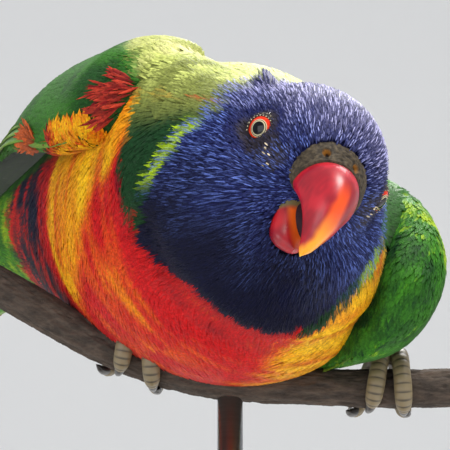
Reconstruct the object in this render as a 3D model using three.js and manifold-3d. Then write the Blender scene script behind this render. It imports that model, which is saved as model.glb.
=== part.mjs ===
// Rainbow lorikeet, life size, crouched on a cut length of branch that a plain display stand holds up.
// Millimetres, +Z up. The origin is the centre of the underside of the stand's base, and the viewer
// stands on the -Y side. The bird looks towards the viewer, its left side lower than its right.

import * as THREE from 'three';
import { mergeVertices } from 'three/addons/utils/BufferGeometryUtils.js';
import Module from 'manifold-3d';

const wasm = await Module();
wasm.setup();

// Driving dimensions of the whole
const GAP = 0.3;
const PERCH_HEIGHT = 117;
const PERCH_RADIUS = 3.8;
const PERCH_AXIS_Y = 0;
const BODY_HEADING = 30;
const BODY_PITCH = -2;
const BODY_ROLL = 29;
const BODY_ABOVE_PERCH = 32.2;
const BODY_AT = [3.4, -5.2, PERCH_HEIGHT + BODY_ABOVE_PERCH];
const HEAD_HEADING = 16;
const HEAD_PITCH = -24;
const HEAD_ROLL = 25;
const HEAD_IN_BODY = [43, -4.4, -0.7];
const EYE_RADIUS = 3.7;
const EYE_POLE = [1.25, 14, -0.25];
const GAZE_FORWARD = 30;
const BASE_RADIUS = 56;
const BASE_THICK = 8;
const ROD_RADIUS = 2.5;
const ROD_X = 5;
const TOE_RADIUS = 1.75;

const up = new THREE.Vector3(0, 0, 1);
const vector = (x, y, z) => new THREE.Vector3(x, y, z);
const rad = THREE.MathUtils.degToRad;
const clamp = THREE.MathUtils.clamp;

// A frame whose axes are forward, left and up: it faces -Y before it is turned, pitched and rolled.
function facing(heading, pitch, roll, origin) {
  const [h, p, r] = [heading, pitch, roll].map(rad);
  const forward = vector(Math.sin(h) * Math.cos(p), -Math.cos(h) * Math.cos(p), Math.sin(p));
  const level = vector(Math.cos(h), Math.sin(h), 0);
  const above = forward.clone().cross(level);
  const left = level.clone().multiplyScalar(Math.cos(r)).addScaledVector(above, -Math.sin(r));
  const back = above.multiplyScalar(Math.cos(r)).addScaledVector(level, Math.sin(r));
  return new THREE.Matrix4().makeBasis(forward, left, back).setPosition(origin);
}

const bodyFrame = facing(BODY_HEADING, BODY_PITCH, BODY_ROLL, vector(...BODY_AT));
const headCentre = vector(...HEAD_IN_BODY).applyMatrix4(bodyFrame);
const headFrame = facing(HEAD_HEADING, HEAD_PITCH, HEAD_ROLL, headCentre);

// A smooth curve through rows of numbers, read at t from 0 to 1.
function through(rows, t) {
  const span = clamp(t, 0, 1) * (rows.length - 1);
  const i = Math.min(Math.floor(span), rows.length - 2);
  const f = span - i;
  const row = (k) => rows[clamp(k, 0, rows.length - 1)];
  const [a, b, c, d] = [row(i - 1), row(i), row(i + 1), row(i + 2)];
  return b.map((_, k) => {
    const slopeIn = (c[k] - a[k]) / 2;
    const slopeOut = (d[k] - b[k]) / 2;
    const rise = c[k] - b[k];
    return b[k] + f * (slopeIn + f * (3 * rise - 2 * slopeIn - slopeOut + f * (slopeIn + slopeOut - 2 * rise)));
  });
}

// Straight lines between rows, read where the first number is x.
function between(rows, x) {
  const k = clamp(rows.findIndex((row) => row[0] > x), 1, rows.length - 1);
  const [a, b] = rows[0][0] > x ? [rows[0], rows[0]] : [rows[k - 1], rows[k]];
  const last = rows[rows.length - 1];
  if (x >= last[0]) return last;
  const f = a === b ? 0 : (x - a[0]) / (b[0] - a[0]);
  return a.map((value, c) => value + f * (b[c] - value));
}

// A closed skin over rings of equal length; a first or last ring of one point is a pole, and any
// other end is closed with a fan. Sides named in flipped are split along their other diagonal.
function skin(rings, flipped = []) {
  const points = [];
  const index = [];
  const starts = rings.map((ring) => points.push(...ring) - ring.length);
  const fan = (ring, start, centre, forward) => {
    for (let j = 0; j < ring.length; j += 1) {
      const next = (j + 1) % ring.length;
      index.push(centre, start + (forward ? next : j), start + (forward ? j : next));
    }
  };
  for (let i = 0; i < rings.length - 1; i += 1) {
    const [a, b] = [rings[i], rings[i + 1]];
    if (a.length === 1) {
      fan(b, starts[i + 1], starts[i], true);
    } else if (b.length === 1) {
      fan(a, starts[i], starts[i + 1], false);
    } else {
      for (let j = 0; j < a.length; j += 1) {
        const next = (j + 1) % a.length;
        const [p, q, r, s] = [starts[i] + j, starts[i] + next, starts[i + 1] + next, starts[i + 1] + j];
        if (flipped.includes(j)) index.push(p, q, s, q, r, s);
        else index.push(p, q, r, p, r, s);
      }
    }
  }
  [[0, true], [rings.length - 1, false]].forEach(([i, first]) => {
    if (rings[i].length === 1) return;
    const centre = rings[i].reduce((sum, p) => sum.add(p), vector(0, 0, 0)).divideScalar(rings[i].length);
    fan(rings[i], starts[i], points.push(centre) - 1, first);
  });
  const geometry = new THREE.BufferGeometry().setFromPoints(points);
  geometry.setIndex(volumeOf(points, index) < 0 ? index.reverse() : index);
  return geometry;
}

function volumeOf(points, index) {
  let sum = 0;
  for (let i = 0; i < index.length; i += 3) {
    const [a, b, c] = [points[index[i]], points[index[i + 1]], points[index[i + 2]]];
    sum += a.dot(b.clone().cross(c));
  }
  return sum;
}

// The same skin pushed out along its normals, to cut a neighbour clear of it.
function grown(geometry, by = GAP) {
  const wider = geometry.clone();
  wider.computeVertexNormals();
  const { position, normal } = wider.attributes;
  for (let i = 0; i < position.count; i += 1) {
    position.setXYZ(i, position.getX(i) + by * normal.getX(i), position.getY(i) + by * normal.getY(i),
      position.getZ(i) + by * normal.getZ(i));
  }
  return wider;
}

function solid(geometry, matrix = new THREE.Matrix4()) {
  const bare = new THREE.BufferGeometry();
  bare.setAttribute('position', geometry.attributes.position.clone());
  bare.setIndex(geometry.index);
  bare.applyMatrix4(matrix);
  const merged = mergeVertices(bare, 1e-4);
  return new wasm.Manifold(new wasm.Mesh({
    numProp: 3,
    vertProperties: Float32Array.from(merged.attributes.position.array),
    triVerts: Uint32Array.from(merged.index.array),
  }));
}

const fused = (solids) => wasm.Manifold.union(solids);

// The largest closed surface of a cut or joined form, without the slivers that the cuts leave.
const FINEST = 0.015;
function largest(whole) {
  return whole.decompose().sort((a, b) => b.volume() - a.volume())[0].simplify(FINEST);
}

function geometryOf(shape) {
  const { vertProperties, triVerts } = shape.getMesh();
  const geometry = new THREE.BufferGeometry();
  geometry.setAttribute('position', new THREE.BufferAttribute(Float32Array.from(vertProperties), 3));
  geometry.setIndex(new THREE.BufferAttribute(Uint32Array.from(triVerts), 1));
  return geometry;
}

const model = new THREE.Group();

function add(name, shape, colour, roughness, metalness = 0) {
  const material = new THREE.MeshStandardMaterial({ color: colour, roughness, metalness });
  const flat = geometryOf(shape).toNonIndexed();
  flat.computeVertexNormals();
  const mesh = new THREE.Mesh(flat, material);
  mesh.name = name;
  model.add(mesh);
}

// A form symmetric about its forward and up plane. Each row is
// [top x, top z, bottom x, bottom z, half width, height of the widest level from 0 to 1, shift to the left].
function symmetric(rows, ringCount, sides) {
  const rings = [];
  for (let i = 0; i < ringCount; i += 1) {
    const [tx, tz, bx, bz, half, level, shift] = through(rows, i / (ringCount - 1));
    const middle = vector(bx + level * (tx - bx), shift, bz + level * (tz - bz));
    const end = (i === 0 || i === ringCount - 1) && half < 0.2;
    rings.push(end ? [middle] : Array.from({ length: sides }, (_, j) => {
      const angle = (j / sides) * 2 * Math.PI;
      const target = Math.cos(angle) > 0 ? vector(tx, shift, tz) : vector(bx, shift, bz);
      const point = middle.clone().lerp(target, Math.abs(Math.cos(angle)));
      point.y = shift + half * Math.sin(angle);
      return point;
    }));
  }
  return skin(rings);
}

// A round form along a path of [x, y, z, radius] rows.
function rope(rows, ringCount, sides, side = up) {
  const centres = Array.from({ length: ringCount }, (_, i) => through(rows, i / (ringCount - 1)));
  return skin(centres.map((row, i) => {
    const before = vector(...centres[Math.max(i - 1, 0)]);
    const after = vector(...centres[Math.min(i + 1, ringCount - 1)]);
    const along = after.sub(before).normalize();
    const across = side.clone().cross(along).normalize();
    const over = along.clone().cross(across);
    const centre = vector(...row);
    if (row[3] < 0.05) return [centre];
    return Array.from({ length: sides }, (_, j) => {
      const angle = (j / sides) * 2 * Math.PI;
      return centre.clone().addScaledVector(across, row[3] * Math.cos(angle))
        .addScaledVector(over, row[3] * Math.sin(angle));
    });
  }));
}

// An ellipsoid of latitude rings about its x axis.
function ellipsoid(centre, radii, ringCount, sides) {
  const rings = [];
  for (let i = 0; i <= ringCount; i += 1) {
    const polar = (i / ringCount) * Math.PI;
    const ring = Math.sin(polar);
    const x = centre[0] - radii[0] * Math.cos(polar);
    const count = i === 0 || i === ringCount ? 1 : sides;
    rings.push(Array.from({ length: count }, (_, j) => {
      const angle = (j / sides) * 2 * Math.PI;
      return count === 1 ? vector(x, centre[1], centre[2])
        : vector(x, centre[1] + radii[1] * ring * Math.cos(angle), centre[2] + radii[2] * ring * Math.sin(angle));
    }));
  }
  return skin(rings);
}

// The body's axis curves to the bird's right behind its middle and runs straight on past the rump.
const BEND_FROM = 5;
const BEND = 0.0031;
const RUMP = -60;
function bend(s) {
  const curved = -BEND * Math.max(BEND_FROM - Math.max(s, RUMP), 0) ** 2;
  return curved + 2 * BEND * (BEND_FROM - RUMP) * Math.min(s - RUMP, 0) * TAIL_STRAIGHTENS;
}
const TAIL_STRAIGHTENS = 0.75;

// Torso: rump to breast.
const TORSO_ROWS = [
  [-68, 2, -68, -2, 0, 0.5, bend(-68)],
  [-67, 5, -67, -6, 7, 0.5, bend(-67)],
  [-60, 10.5, -60, -9.5, 12.5, 0.5, bend(-60)],
  [-44, 18.5, -45, -15, 20, 0.5, bend(-44)],
  [-22, 26, -23, -25.5, 28, 0.5, bend(-22)],
  [0, 29, 0, -32, 32, 0.48, 0],
  [15, 27.5, 18, -31, 30.5, 0.47, 0],
  [23, 21, 28, -25, 24.5, 0.46, -1],
  [29, 12, 33, -19, 17, 0.46, -2],
  [31, 4, 34, -12, 8, 0.46, -2.5],
  [31.5, -4, 34, -8, 0, 0.46, -2.5],
];
const torsoSkin = symmetric(TORSO_ROWS, 19, 24);

// Neck: the flared hood of feathers from the shoulders up to the back of the head.
const NECK_ROWS = [
  [6, 6, 6, -10, 0, 0.5, 0],
  [8, 12, 8, -16, 12, 0.5, -0.5],
  [16, 22, 20, -27, 25.5, 0.5, -1.2],
  [23, 21.5, 29.5, -28.8, 26.8, 0.48, -2.3],
  [30, 17.5, 37, -24.5, 22, 0.48, -3.4],
  [36, 13, 44, -19.5, 15.5, 0.48, -4.2],
  [41, 4, 46, -12, 0, 0.5, -4.4],
];
const neckSkin = symmetric(NECK_ROWS, 12, 24);

// Head: skull and cheeks, between the eyes at its origin.
const HEAD_ROWS = [
  [-21, 2, -21, -8, 0, 0.5, 0],
  [-20, 7, -20, -13, 10, 0.5, 0],
  [-15, 11.5, -14, -17, 14.5, 0.5, 0],
  [-7, 13, -6, -18.5, 15.4, 0.5, 0],
  [0, 12, 0, -18.3, 13.7, 0.52, 0],
  [5, 9.5, 4, -17.2, 12.2, 0.55, 0],
  [9, 6, 7, -15.4, 9, 0.58, 0],
  [11, 2.5, 8.5, -13, 6, 0.6, 0],
  [11.5, 0, 9.5, -10, 0, 0.6, 0],
];
const headSkin = symmetric(HEAD_ROWS, 17, 22);
const HEAD_CUT = -12;

const torsoClear = solid(grown(torsoSkin), bodyFrame);
const hood = fused([solid(neckSkin, bodyFrame), solid(headSkin, headFrame)]);
const headAxis = vector(0, 0, 0).setFromMatrixColumn(headFrame, 0);
const headPlane = headAxis.dot(headCentre) + HEAD_CUT;
const headWhole = hood.trimByPlane(headAxis.toArray(), headPlane + GAP / 2).subtract(torsoClear);
const neck = largest(hood.trimByPlane(headAxis.clone().negate().toArray(), -headPlane + GAP / 2)
  .subtract(torsoClear));

// Bill: an upper half that curls down to a hooked tip, a scoop below it, and the soft cere at its root.
const UPPER_ROWS = [
  [9.8, 4.2, 8.2, -7.4, 6.2, 0.45, 0],
  [13.2, 4, 10.8, -8, 6.1, 0.45, 0],
  [17, 2, 12.8, -8.6, 5.5, 0.42, 0],
  [19.8, -1.6, 14.4, -9.6, 4.7, 0.4, 0],
  [20.8, -6, 15.4, -11.4, 3.8, 0.4, 0],
  [20.3, -10.4, 15.8, -13.2, 2.6, 0.4, 0],
  [18.6, -14.2, 16, -15, 1.3, 0.4, 0],
  [17, -16.8, 16.4, -16.6, 0, 0.5, 0],
];
const upperSkin = symmetric(UPPER_ROWS, 15, 20);
const LOWER_ROWS = [
  [5.6, -9.4, 2.6, -15.2, 5, 0.6, 0],
  [8.4, -10, 5.6, -17.2, 5.2, 0.6, 0],
  [11, -11.6, 8.6, -18.2, 4.6, 0.62, 0],
  [12.8, -14, 11.2, -17.8, 3.2, 0.65, 0],
  [13.4, -15.8, 13, -16.6, 0, 0.6, 0],
];
const lowerSkin = symmetric(LOWER_ROWS, 11, 16);
const CERE_ROWS = [
  [7.4, 5.2, 6.4, -6.6, 6.6, 0.45, 0],
  [8.6, 5.6, 7, -7.2, 7.1, 0.45, 0],
  [10.4, 5.3, 8, -7.4, 7, 0.45, 0],
  [11.6, 4.4, 9, -7, 6.2, 0.45, 0],
];
const cereSkin = symmetric(CERE_ROWS, 8, 20);

const upperClear = solid(grown(upperSkin), headFrame);
const lowerClear = solid(grown(lowerSkin), headFrame);
const NOSTRIL = { x: 11.4, y: 2.9, z: 3.1, radii: [1.1, 0.75, 0.6] };
const nostrils = [-1, 1].map((side) => (
  solid(ellipsoid([NOSTRIL.x, side * NOSTRIL.y, NOSTRIL.z], NOSTRIL.radii, 6, 10), headFrame)));
const cereWhole = nostrils.reduce((left, hole) => left.subtract(hole), solid(cereSkin, headFrame));
const cere = largest(cereWhole.subtract(upperClear).subtract(lowerClear));
const cereClear = solid(grown(cereSkin), headFrame);

// Eyes in their sockets, turned outwards and a little forward, each with a raised ring of lids.
const LIDS = { radius: 3.15, out: 2.55, thick: 0.72, count: 16, sides: 5 };

function gaze(side) {
  return vector(Math.sin(rad(GAZE_FORWARD)), side * Math.cos(rad(GAZE_FORWARD)), 0);
}

function eyeCentre(side) {
  const [x, y, z] = EYE_POLE;
  return vector(x, side * y, z).addScaledVector(gaze(side), -EYE_RADIUS);
}

function eye(side) {
  return ellipsoid(eyeCentre(side).toArray(), [EYE_RADIUS, EYE_RADIUS, EYE_RADIUS], 9, 12);
}

function lids(side) {
  const outward = gaze(side);
  const across = outward.clone().cross(up);
  const middle = eyeCentre(side).addScaledVector(outward, LIDS.out);
  return ringSkin(Array.from({ length: LIDS.count }, (_, i) => {
    const turn = (i / LIDS.count) * 2 * Math.PI;
    const radial = across.clone().multiplyScalar(Math.cos(turn)).addScaledVector(up, Math.sin(turn));
    return Array.from({ length: LIDS.sides }, (__, j) => {
      const angle = (j / LIDS.sides) * 2 * Math.PI;
      return middle.clone().addScaledVector(radial, LIDS.radius + LIDS.thick * Math.cos(angle))
        .addScaledVector(outward, LIDS.thick * Math.sin(angle));
    });
  }));
}

// A closed loop of rings, such as a lid.
function ringSkin(rings) {
  const points = rings.flat();
  const index = [];
  const count = rings[0].length;
  rings.forEach((ring, i) => {
    const after = ((i + 1) % rings.length) * count;
    ring.forEach((_, j) => {
      const next = (j + 1) % count;
      index.push(i * count + j, i * count + next, after + next, i * count + j, after + next, after + j);
    });
  });
  const geometry = new THREE.BufferGeometry().setFromPoints(points);
  geometry.setIndex(volumeOf(points, index) < 0 ? index.reverse() : index);
  return geometry;
}

const eyeSides = { left: 1, right: -1 };
let head = fused([headWhole, ...Object.values(eyeSides).map((side) => solid(lids(side), headFrame))]);
Object.values(eyeSides).forEach((side) => {
  head = head.subtract(solid(grown(eye(side)), headFrame));
});
head = largest(head.subtract(cereClear).subtract(upperClear).subtract(lowerClear));

// Perch: a cut length of branch that rises to its left, and the stand below it.
const PERCH_RISE = [
  [-52, 27, 0.95],
  [-34, 16.5, 1.05],
  [-20, 8.5, 0.98],
  [-6, 3.2, 1.02],
  [8, 0.8, 1.04],
  [24, 0, 0.97],
  [42, -0.2, 1],
  [60, 0.5, 1.04],
];
const perchHeight = (x) => PERCH_HEIGHT + between(PERCH_RISE, x)[1];
const PERCH_ROWS = PERCH_RISE.map(([x, rise, share]) => (
  [x, PERCH_AXIS_Y, PERCH_HEIGHT + rise, PERCH_RADIUS * share]));
const perchSkin = rope(PERCH_ROWS, 19, 12);
const perchClear = solid(grown(perchSkin));

// Wings lie on a bed, an oval tube about the body's axis. Rows are
// [forward, centre height, sideways radius, upward radius, angle of the wing's middle line from the top].
const BED_ROWS = [
  [-140, -17, 11, 10, 40],
  [-110, -12, 12.5, 11, 40],
  [-80, -6, 16, 14, 42],
  [-45, -1, 24, 21, 52],
  [-20, 0, 31, 27.5, 64],
  [5, -1, 33.6, 30, 76],
  [25, -2, 32.5, 28, 82],
  [40, -3, 27, 24, 84],
];
const WRIST = { left: 31, right: 14 };
const WING_LIFT = { left: 0, right: 5.5 };
const WING_DROP = { left: 1.35, right: 1 };

// A point of a wing: x back from the wrist, y up across it and z out from the bed. The right wing is
// held a little away from the body, most of all behind its wrist.
const LIFT_AT = 34;
const LIFT_SPREAD = 26;
function onBed(name, x, y, z) {
  const [s, centre, wide, tall, middle] = between(BED_ROWS, WRIST[name] - x);
  const angle = rad(middle) - y / ((wide + tall) / 2);
  const out = z + WING_LIFT[name] * Math.exp(-(((x - LIFT_AT) / LIFT_SPREAD) ** 2));
  return vector(s, eyeSides[name] * (wide + out) * Math.sin(angle) + bend(s), centre + (tall + out) * Math.cos(angle));
}

// The arm of the wing under its coverts: [back, lower edge, upper edge, thickness above the bed,
// depth below it]. Its deep round front closes the space between the wrist and the body.
const ARM_ROWS = [
  [-4, -2, 2, 1.5, 3],
  [-1, -9, 9, 4.5, 8],
  [7, -15, 15, 6, 10],
  [18, -17.5, 19, 4.6, 8],
  [34, -17.5, 19.5, 3.2, 3],
  [50, -15.5, 17, 2.2, 0],
  [62, -9, 8, 0.9, 0],
];
const ARM_RINGS = 8;
const ARM_SIDES = 10;
const ARM_EDGE = 0.5;

function armRound(row, y) {
  return Math.sqrt(Math.max(1 - ((2 * y - row[1] - row[2]) / (row[2] - row[1])) ** 2, 0));
}

function armCrown(row, y) {
  return ARM_EDGE + (row[3] - ARM_EDGE) * armRound(row, y);
}

function armRow(name, [back, lower, ...others]) {
  return [back, lower * WING_DROP[name], ...others];
}

function arm(name) {
  return skin(Array.from({ length: ARM_RINGS }, (_, i) => {
    const row = armRow(name, through(ARM_ROWS, i / (ARM_RINGS - 1)));
    return Array.from({ length: ARM_SIDES }, (__, j) => {
      const share = (2 * j) / ARM_SIDES;
      const y = row[1] + (share < 1 ? share : 2 - share) * (row[2] - row[1]);
      return onBed(name, row[0], y, share < 1 ? -row[4] * armRound(row, y) : armCrown(row, y));
    });
  }));
}

// Outlines of a feather's vane: [share of its length, share of its half width].
const FLIGHT = [[0, 0.6], [0.3, 0.95], [0.65, 1], [0.88, 0.7], [1, 0.14]];
const COVERT = [[0, 0.6], [0.5, 1], [0.84, 0.82], [1, 0.3]];
const QUILL = [[0, 0.5], [0.25, 0.85], [0.55, 1], [0.8, 0.75], [0.93, 0.38], [1, 0.08]];
const VANE_THICK = 0.5;

// A vane as a thin plate that narrows to its tip, with both faces split along the same diagonals.
// place(along, across, face) puts each of its points.
function vane(outline, length, half, place) {
  return skin(outline.map(([along, share]) => (
    [[-1, -1], [1, -1], [1, 1], [-1, 1]].map(([across, face]) => (
      place(along * length, across * share * half, face * VANE_THICK / 2))))), [2]);
}

// The wing's feathers lie along eleven shaft lines, all alike to its lower edge and an even step
// apart, and each slants so that it lies over the edge of the one below it, as tiles do.
const SHAFT_LINES = 11;
const EDGE_ROWS = [[0, -17], [28, -18], [52, -17], [78, -13], [104, -8.5], [130, -5.5], [148, -2]];
const FIRST_SHAFT = 3;
const LAST_SHAFT = 2.5;
const SLANT = 0.34;
const TIERS = [
  { every: 1, outline: FLIGHT, half: [3.9, 4.3], level: 1.5, from: [[36], [34], [16]],
    to: [[148], [131], [109], [94], [78], [66], [53]] },
  { every: 1, outline: COVERT, half: [3.2, 3.4], level: 2.4, from: [[22], [20], [12]], to: [[56], [53], [50], [38]] },
  { every: 2, outline: COVERT, half: [4.2, 4.2], level: 3.5, from: [[8], [5], [7]], to: [[30], [31], [29], [24]] },
];

function shaftLine(name, k, x) {
  const rows = armRow(name, ARM_ROWS[3]);
  const step = (rows[2] - rows[1] - FIRST_SHAFT - LAST_SHAFT) / (SHAFT_LINES - 1);
  return between(EDGE_ROWS, x)[1] * WING_DROP[name] + FIRST_SHAFT + k * step;
}

let seed = 7;
function random() {
  seed = (seed * 16807) % 2147483647;
  return seed / 2147483647;
}

// One tier of a wing: each feather's root is sunk in the arm, from where it rises to the tier's level.
const SUNK = 0.55;
const RISEN_AT = 9;
const LENGTHS_VARY = 0.04;
function tier(name, { every, outline, half, level, from, to }) {
  return Array.from({ length: Math.ceil(SHAFT_LINES / every) }, (_, i) => {
    const k = i * every;
    const t = k / (SHAFT_LINES - 1);
    const root = through(from, t)[0];
    const length = (through(to, t)[0] - root) * (1 + LENGTHS_VARY * (random() - 0.5));
    const rootOut = SUNK * armCrown(armRow(name, between(ARM_ROWS, root)), shaftLine(name, k, root));
    return vane(outline, length, half[0] + t * (half[1] - half[0]), (along, across, face) => {
      const out = rootOut + (level - rootOut) * Math.min(along / RISEN_AT, 1);
      return onBed(name, root + along, shaftLine(name, k, root + along) + across, out - SLANT * across + face);
    });
  });
}

function wing(name) {
  return [arm(name), ...TIERS.flatMap((row) => tier(name, row))];
}

// Tail: a wedge of long feathers that droops from the rump.
const TAIL_ROOT = [-62, bend(-62), -1];
const TAIL_LENGTH = 128;
const TAIL_DROOP = 26;
const TAIL_TURN = Math.atan(2 * BEND * (BEND_FROM - RUMP) * TAIL_STRAIGHTENS);
const tailFrame = bodyFrame.clone().multiply(new THREE.Matrix4().makeTranslation(...TAIL_ROOT))
  .multiply(new THREE.Matrix4().makeRotationZ(TAIL_TURN))
  .multiply(new THREE.Matrix4().makeRotationY(rad(-TAIL_DROOP)));
const TAIL_CORE = [
  [8, 4, 8, -4, 0, 0.5, 0],
  [6, 5.5, 6, -5.5, 6.5, 0.5, 0],
  [-10, 4.2, -10, -5, 8.5, 0.5, 0],
  [-26, 2, -26, -3.4, 6.5, 0.5, 0],
  [-34, 0.4, -34, -1.6, 0, 0.5, 0],
];

// Twelve long feathers in pairs: the middle pair is longest and on top, and the others lie edge to
// edge under it, each pair shorter, lower and wider spread than the last.
const TAIL_PAIRS = 6;
const TAIL_STEP = 0.85;
const TAIL_HALF = 6.4;
const TAIL_NARROWER = 0.9;
const TAIL_SHORTER = 0.085;
const TAIL_FAN = 1.25;
const TAIL_TOP = { level: 2.2, aside: 1.2 };
const TAIL_BELOW = { level: 1.8, aside: TAIL_HALF / 2 + GAP, apartAt: 30 };
function tailFeather(pair, side) {
  const top = pair === 0;
  const length = TAIL_LENGTH * (1 - TAIL_SHORTER * pair) * (1 + LENGTHS_VARY * (random() - 0.5));
  const turn = rad(side * TAIL_FAN * pair);
  const level = top ? TAIL_TOP.level + side * TAIL_STEP / 2 : TAIL_BELOW.level - TAIL_STEP * pair;
  const apart = top ? 0 : TAIL_HALF / 2;
  return vane(QUILL, length, top ? TAIL_HALF : TAIL_HALF * TAIL_NARROWER, (along, across, face) => vector(
    -along, side * ((top ? TAIL_TOP : TAIL_BELOW).aside + Math.min(along / TAIL_BELOW.apartAt, 1) * apart)
      + along * Math.sin(turn) + across, level + face));
}

// The coverts over and under the tail's root: the middle one lies outermost, and each starts
// sunk in the root and comes out of it on a slope.
const TAIL_COVERTS = [
  { side: 1, level: 4.9, length: 44 },
  { side: -1, level: -5.3, length: 56 },
];
const COVERT_STEP = 0.85;
const COVERT_HALF = 3.4;
const COVERT_ROOT = { x: 4, sunk: 1.6, slope: 0.2 };
const COVERT_SHORTER = 0.08;
const COVERT_FAN = 0.02;
function tailCoverts({ side, level, length }) {
  return [-2, -1, 0, 1, 2].map((place) => {
    const stack = level - side * COVERT_STEP * Math.abs(place);
    const reach = length * (1 - COVERT_SHORTER * Math.abs(place));
    return vane(COVERT, reach, COVERT_HALF, (along, across, face) => vector(
      COVERT_ROOT.x - along, place * (COVERT_HALF + GAP + COVERT_FAN * along) + across,
      stack - side * (Math.max(COVERT_ROOT.sunk - COVERT_ROOT.slope * along, 0) + COVERT_FAN * along) + face));
  });
}

// Legs: a short scaly shank and four toes that close round the perch, two in front and two behind.
const FOOT_AT = { left: 36, right: -12.8 };
const TOE_TURN = [-5, 35, 70, 105, 135, 155, 180, 205];
const TOE_THICK = [2.1, 1.85, 1.7, 1.75, 1.6, 1.15, 0.8, 0.04];
const TOE_CLEAR = 0.5;
const PERCH_SWELLS = 1.03;
const TOES = [
  { way: 1, start: 1.8, end: 3, reach: 1 },
  { way: 1, start: -1, end: -4.5, reach: 0.92 },
  { way: -1, start: 1.6, end: 4, reach: 0.92 },
  { way: -1, start: -1.6, end: -8.5, reach: 0.92 },
];

function toe(name, { way, start, end, reach }) {
  const rows = TOE_TURN.map((turn, i) => {
    const share = i / (TOE_TURN.length - 1);
    const angle = way * rad(turn * reach);
    const radius = PERCH_RADIUS * PERCH_SWELLS + GAP + Math.max(TOE_THICK[i], TOE_CLEAR);
    const x = FOOT_AT[name] + start + (end - start) * share;
    return [x, PERCH_AXIS_Y - radius * Math.sin(angle), perchHeight(x) + radius * Math.cos(angle), TOE_THICK[i]];
  });
  return rope(rows, 11, 6, vector(1, 0, 0));
}

// The shank and thigh, from the feathers of the belly down to the toes, as rows of
// [x from the foot, y, height over the toes, radius].
const SHANK_ROWS = [
  [-15, 4, 16, 7.5],
  [-9.5, 3, 8.5, 5.2],
  [-4, 1, 3, 2.7],
  [0, 0, 0.4, 2.4],
];
function shank(name) {
  const foot = FOOT_AT[name];
  const top = perchHeight(foot) + PERCH_RADIUS + TOE_RADIUS;
  return rope(SHANK_ROWS.map(([x, y, z, radius]) => [foot + x, PERCH_AXIS_Y + y, top + z, radius]),
    8, 10, vector(0, 1, 0));
}

const wings = Object.fromEntries(Object.keys(eyeSides).map((name) => [name, wing(name)]));
const sides = Object.keys(eyeSides);
const toes = Object.fromEntries(sides.map((name) => [name, TOES.map((shape) => toe(name, shape))]));
const toesClear = fused(sides.flatMap((name) => toes[name].map((skinned) => solid(grown(skinned)))));
const torso = largest(solid(torsoSkin, bodyFrame).subtract(perchClear).subtract(toesClear));
const neckClear = solid(grown(neckSkin), bodyFrame);

add('torso', torso, '#c8301c', 0.75);
add('neck', neck, '#2a2f7a', 0.75);
add('head', head, '#2f3a94', 0.75);
add('upper_beak', solid(upperSkin, headFrame), '#d6402a', 0.35);
add('lower_beak', solid(lowerSkin, headFrame), '#c8352a', 0.35);
add('cere', cere, '#6b6448', 0.6);
Object.entries(eyeSides).forEach(([name, side]) => {
  add(`eye_${name}`, solid(eye(side), headFrame), '#c23a1a', 0.15);
});
Object.keys(eyeSides).forEach((name) => {
  const feathered = fused(wings[name].map((piece) => solid(piece, bodyFrame)));
  const clear = [torsoClear, neckClear, toesClear, perchClear].reduce((left, cut) => left.subtract(cut), feathered);
  add(`wing_${name}`, largest(clear), '#2f8a35', 0.7);
  const wingClear = fused(wings[name].map((piece) => solid(grown(piece), bodyFrame)));
  const above = solid(shank(name)).subtract(torsoClear).subtract(wingClear);
  const foot = wasm.Manifold.union([above, ...toes[name].map((skinned) => solid(skinned))]);
  add(`leg_${name}`, largest(foot.subtract(perchClear)), '#8a7a68', 0.7);
});
const tailVanes = Array.from({ length: TAIL_PAIRS }, (_, pair) => [tailFeather(pair, 1), tailFeather(pair, -1)]);
const tailPieces = [symmetric(TAIL_CORE, 9, 12), ...tailVanes.flat(), ...TAIL_COVERTS.flatMap(tailCoverts)];
add('tail', largest(fused(tailPieces.map((piece) => solid(piece, tailFrame))).subtract(torsoClear)), '#3a8a3a', 0.7);
add('perch', solid(perchSkin), '#4a3c30', 0.9);
const BASE_EDGE = 1.2;
const baseProfile = [[0, 0], [BASE_RADIUS - 0.4, 0], [BASE_RADIUS, 0.4], [BASE_RADIUS, BASE_THICK - BASE_EDGE],
  [BASE_RADIUS - BASE_EDGE, BASE_THICK], [0, BASE_THICK]].map(([x, y]) => new THREE.Vector2(x, y));
const base = new THREE.LatheGeometry(baseProfile, 56).rotateX(Math.PI / 2);
add('stand_base', solid(base), '#3a2e26', 0.6);
const rodLength = PERCH_HEIGHT - BASE_THICK - GAP;
const rod = new THREE.CylinderGeometry(ROD_RADIUS, ROD_RADIUS, rodLength, 24)
  .rotateY(rad(5)).rotateX(Math.PI / 2).translate(ROD_X, PERCH_AXIS_Y, BASE_THICK + GAP + rodLength / 2);
add('stand_rod', largest(solid(rod).subtract(perchClear)), '#a8a8a8', 0.3, 1);

export default model;
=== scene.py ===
import bpy
import numpy as np
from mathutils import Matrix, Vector


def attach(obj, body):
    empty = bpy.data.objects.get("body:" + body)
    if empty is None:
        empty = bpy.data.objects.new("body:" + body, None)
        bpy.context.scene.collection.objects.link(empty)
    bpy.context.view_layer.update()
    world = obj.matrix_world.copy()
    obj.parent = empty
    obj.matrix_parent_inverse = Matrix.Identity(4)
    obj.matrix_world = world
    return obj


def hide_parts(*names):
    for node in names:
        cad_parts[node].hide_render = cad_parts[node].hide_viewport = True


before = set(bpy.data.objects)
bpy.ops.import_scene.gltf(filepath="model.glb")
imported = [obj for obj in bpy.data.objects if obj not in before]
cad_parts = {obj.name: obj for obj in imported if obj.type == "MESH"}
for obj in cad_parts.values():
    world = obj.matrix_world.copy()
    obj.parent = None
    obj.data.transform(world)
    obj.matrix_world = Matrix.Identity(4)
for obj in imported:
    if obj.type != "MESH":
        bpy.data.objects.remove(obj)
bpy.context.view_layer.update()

# Camera: it stands in front of the bird, a little above the floor and below the perch, and looks
# up at it through a long lens. The picture is square, 450 pixels a side.
LENS_LENGTH = 198
SENSOR = 36
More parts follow.
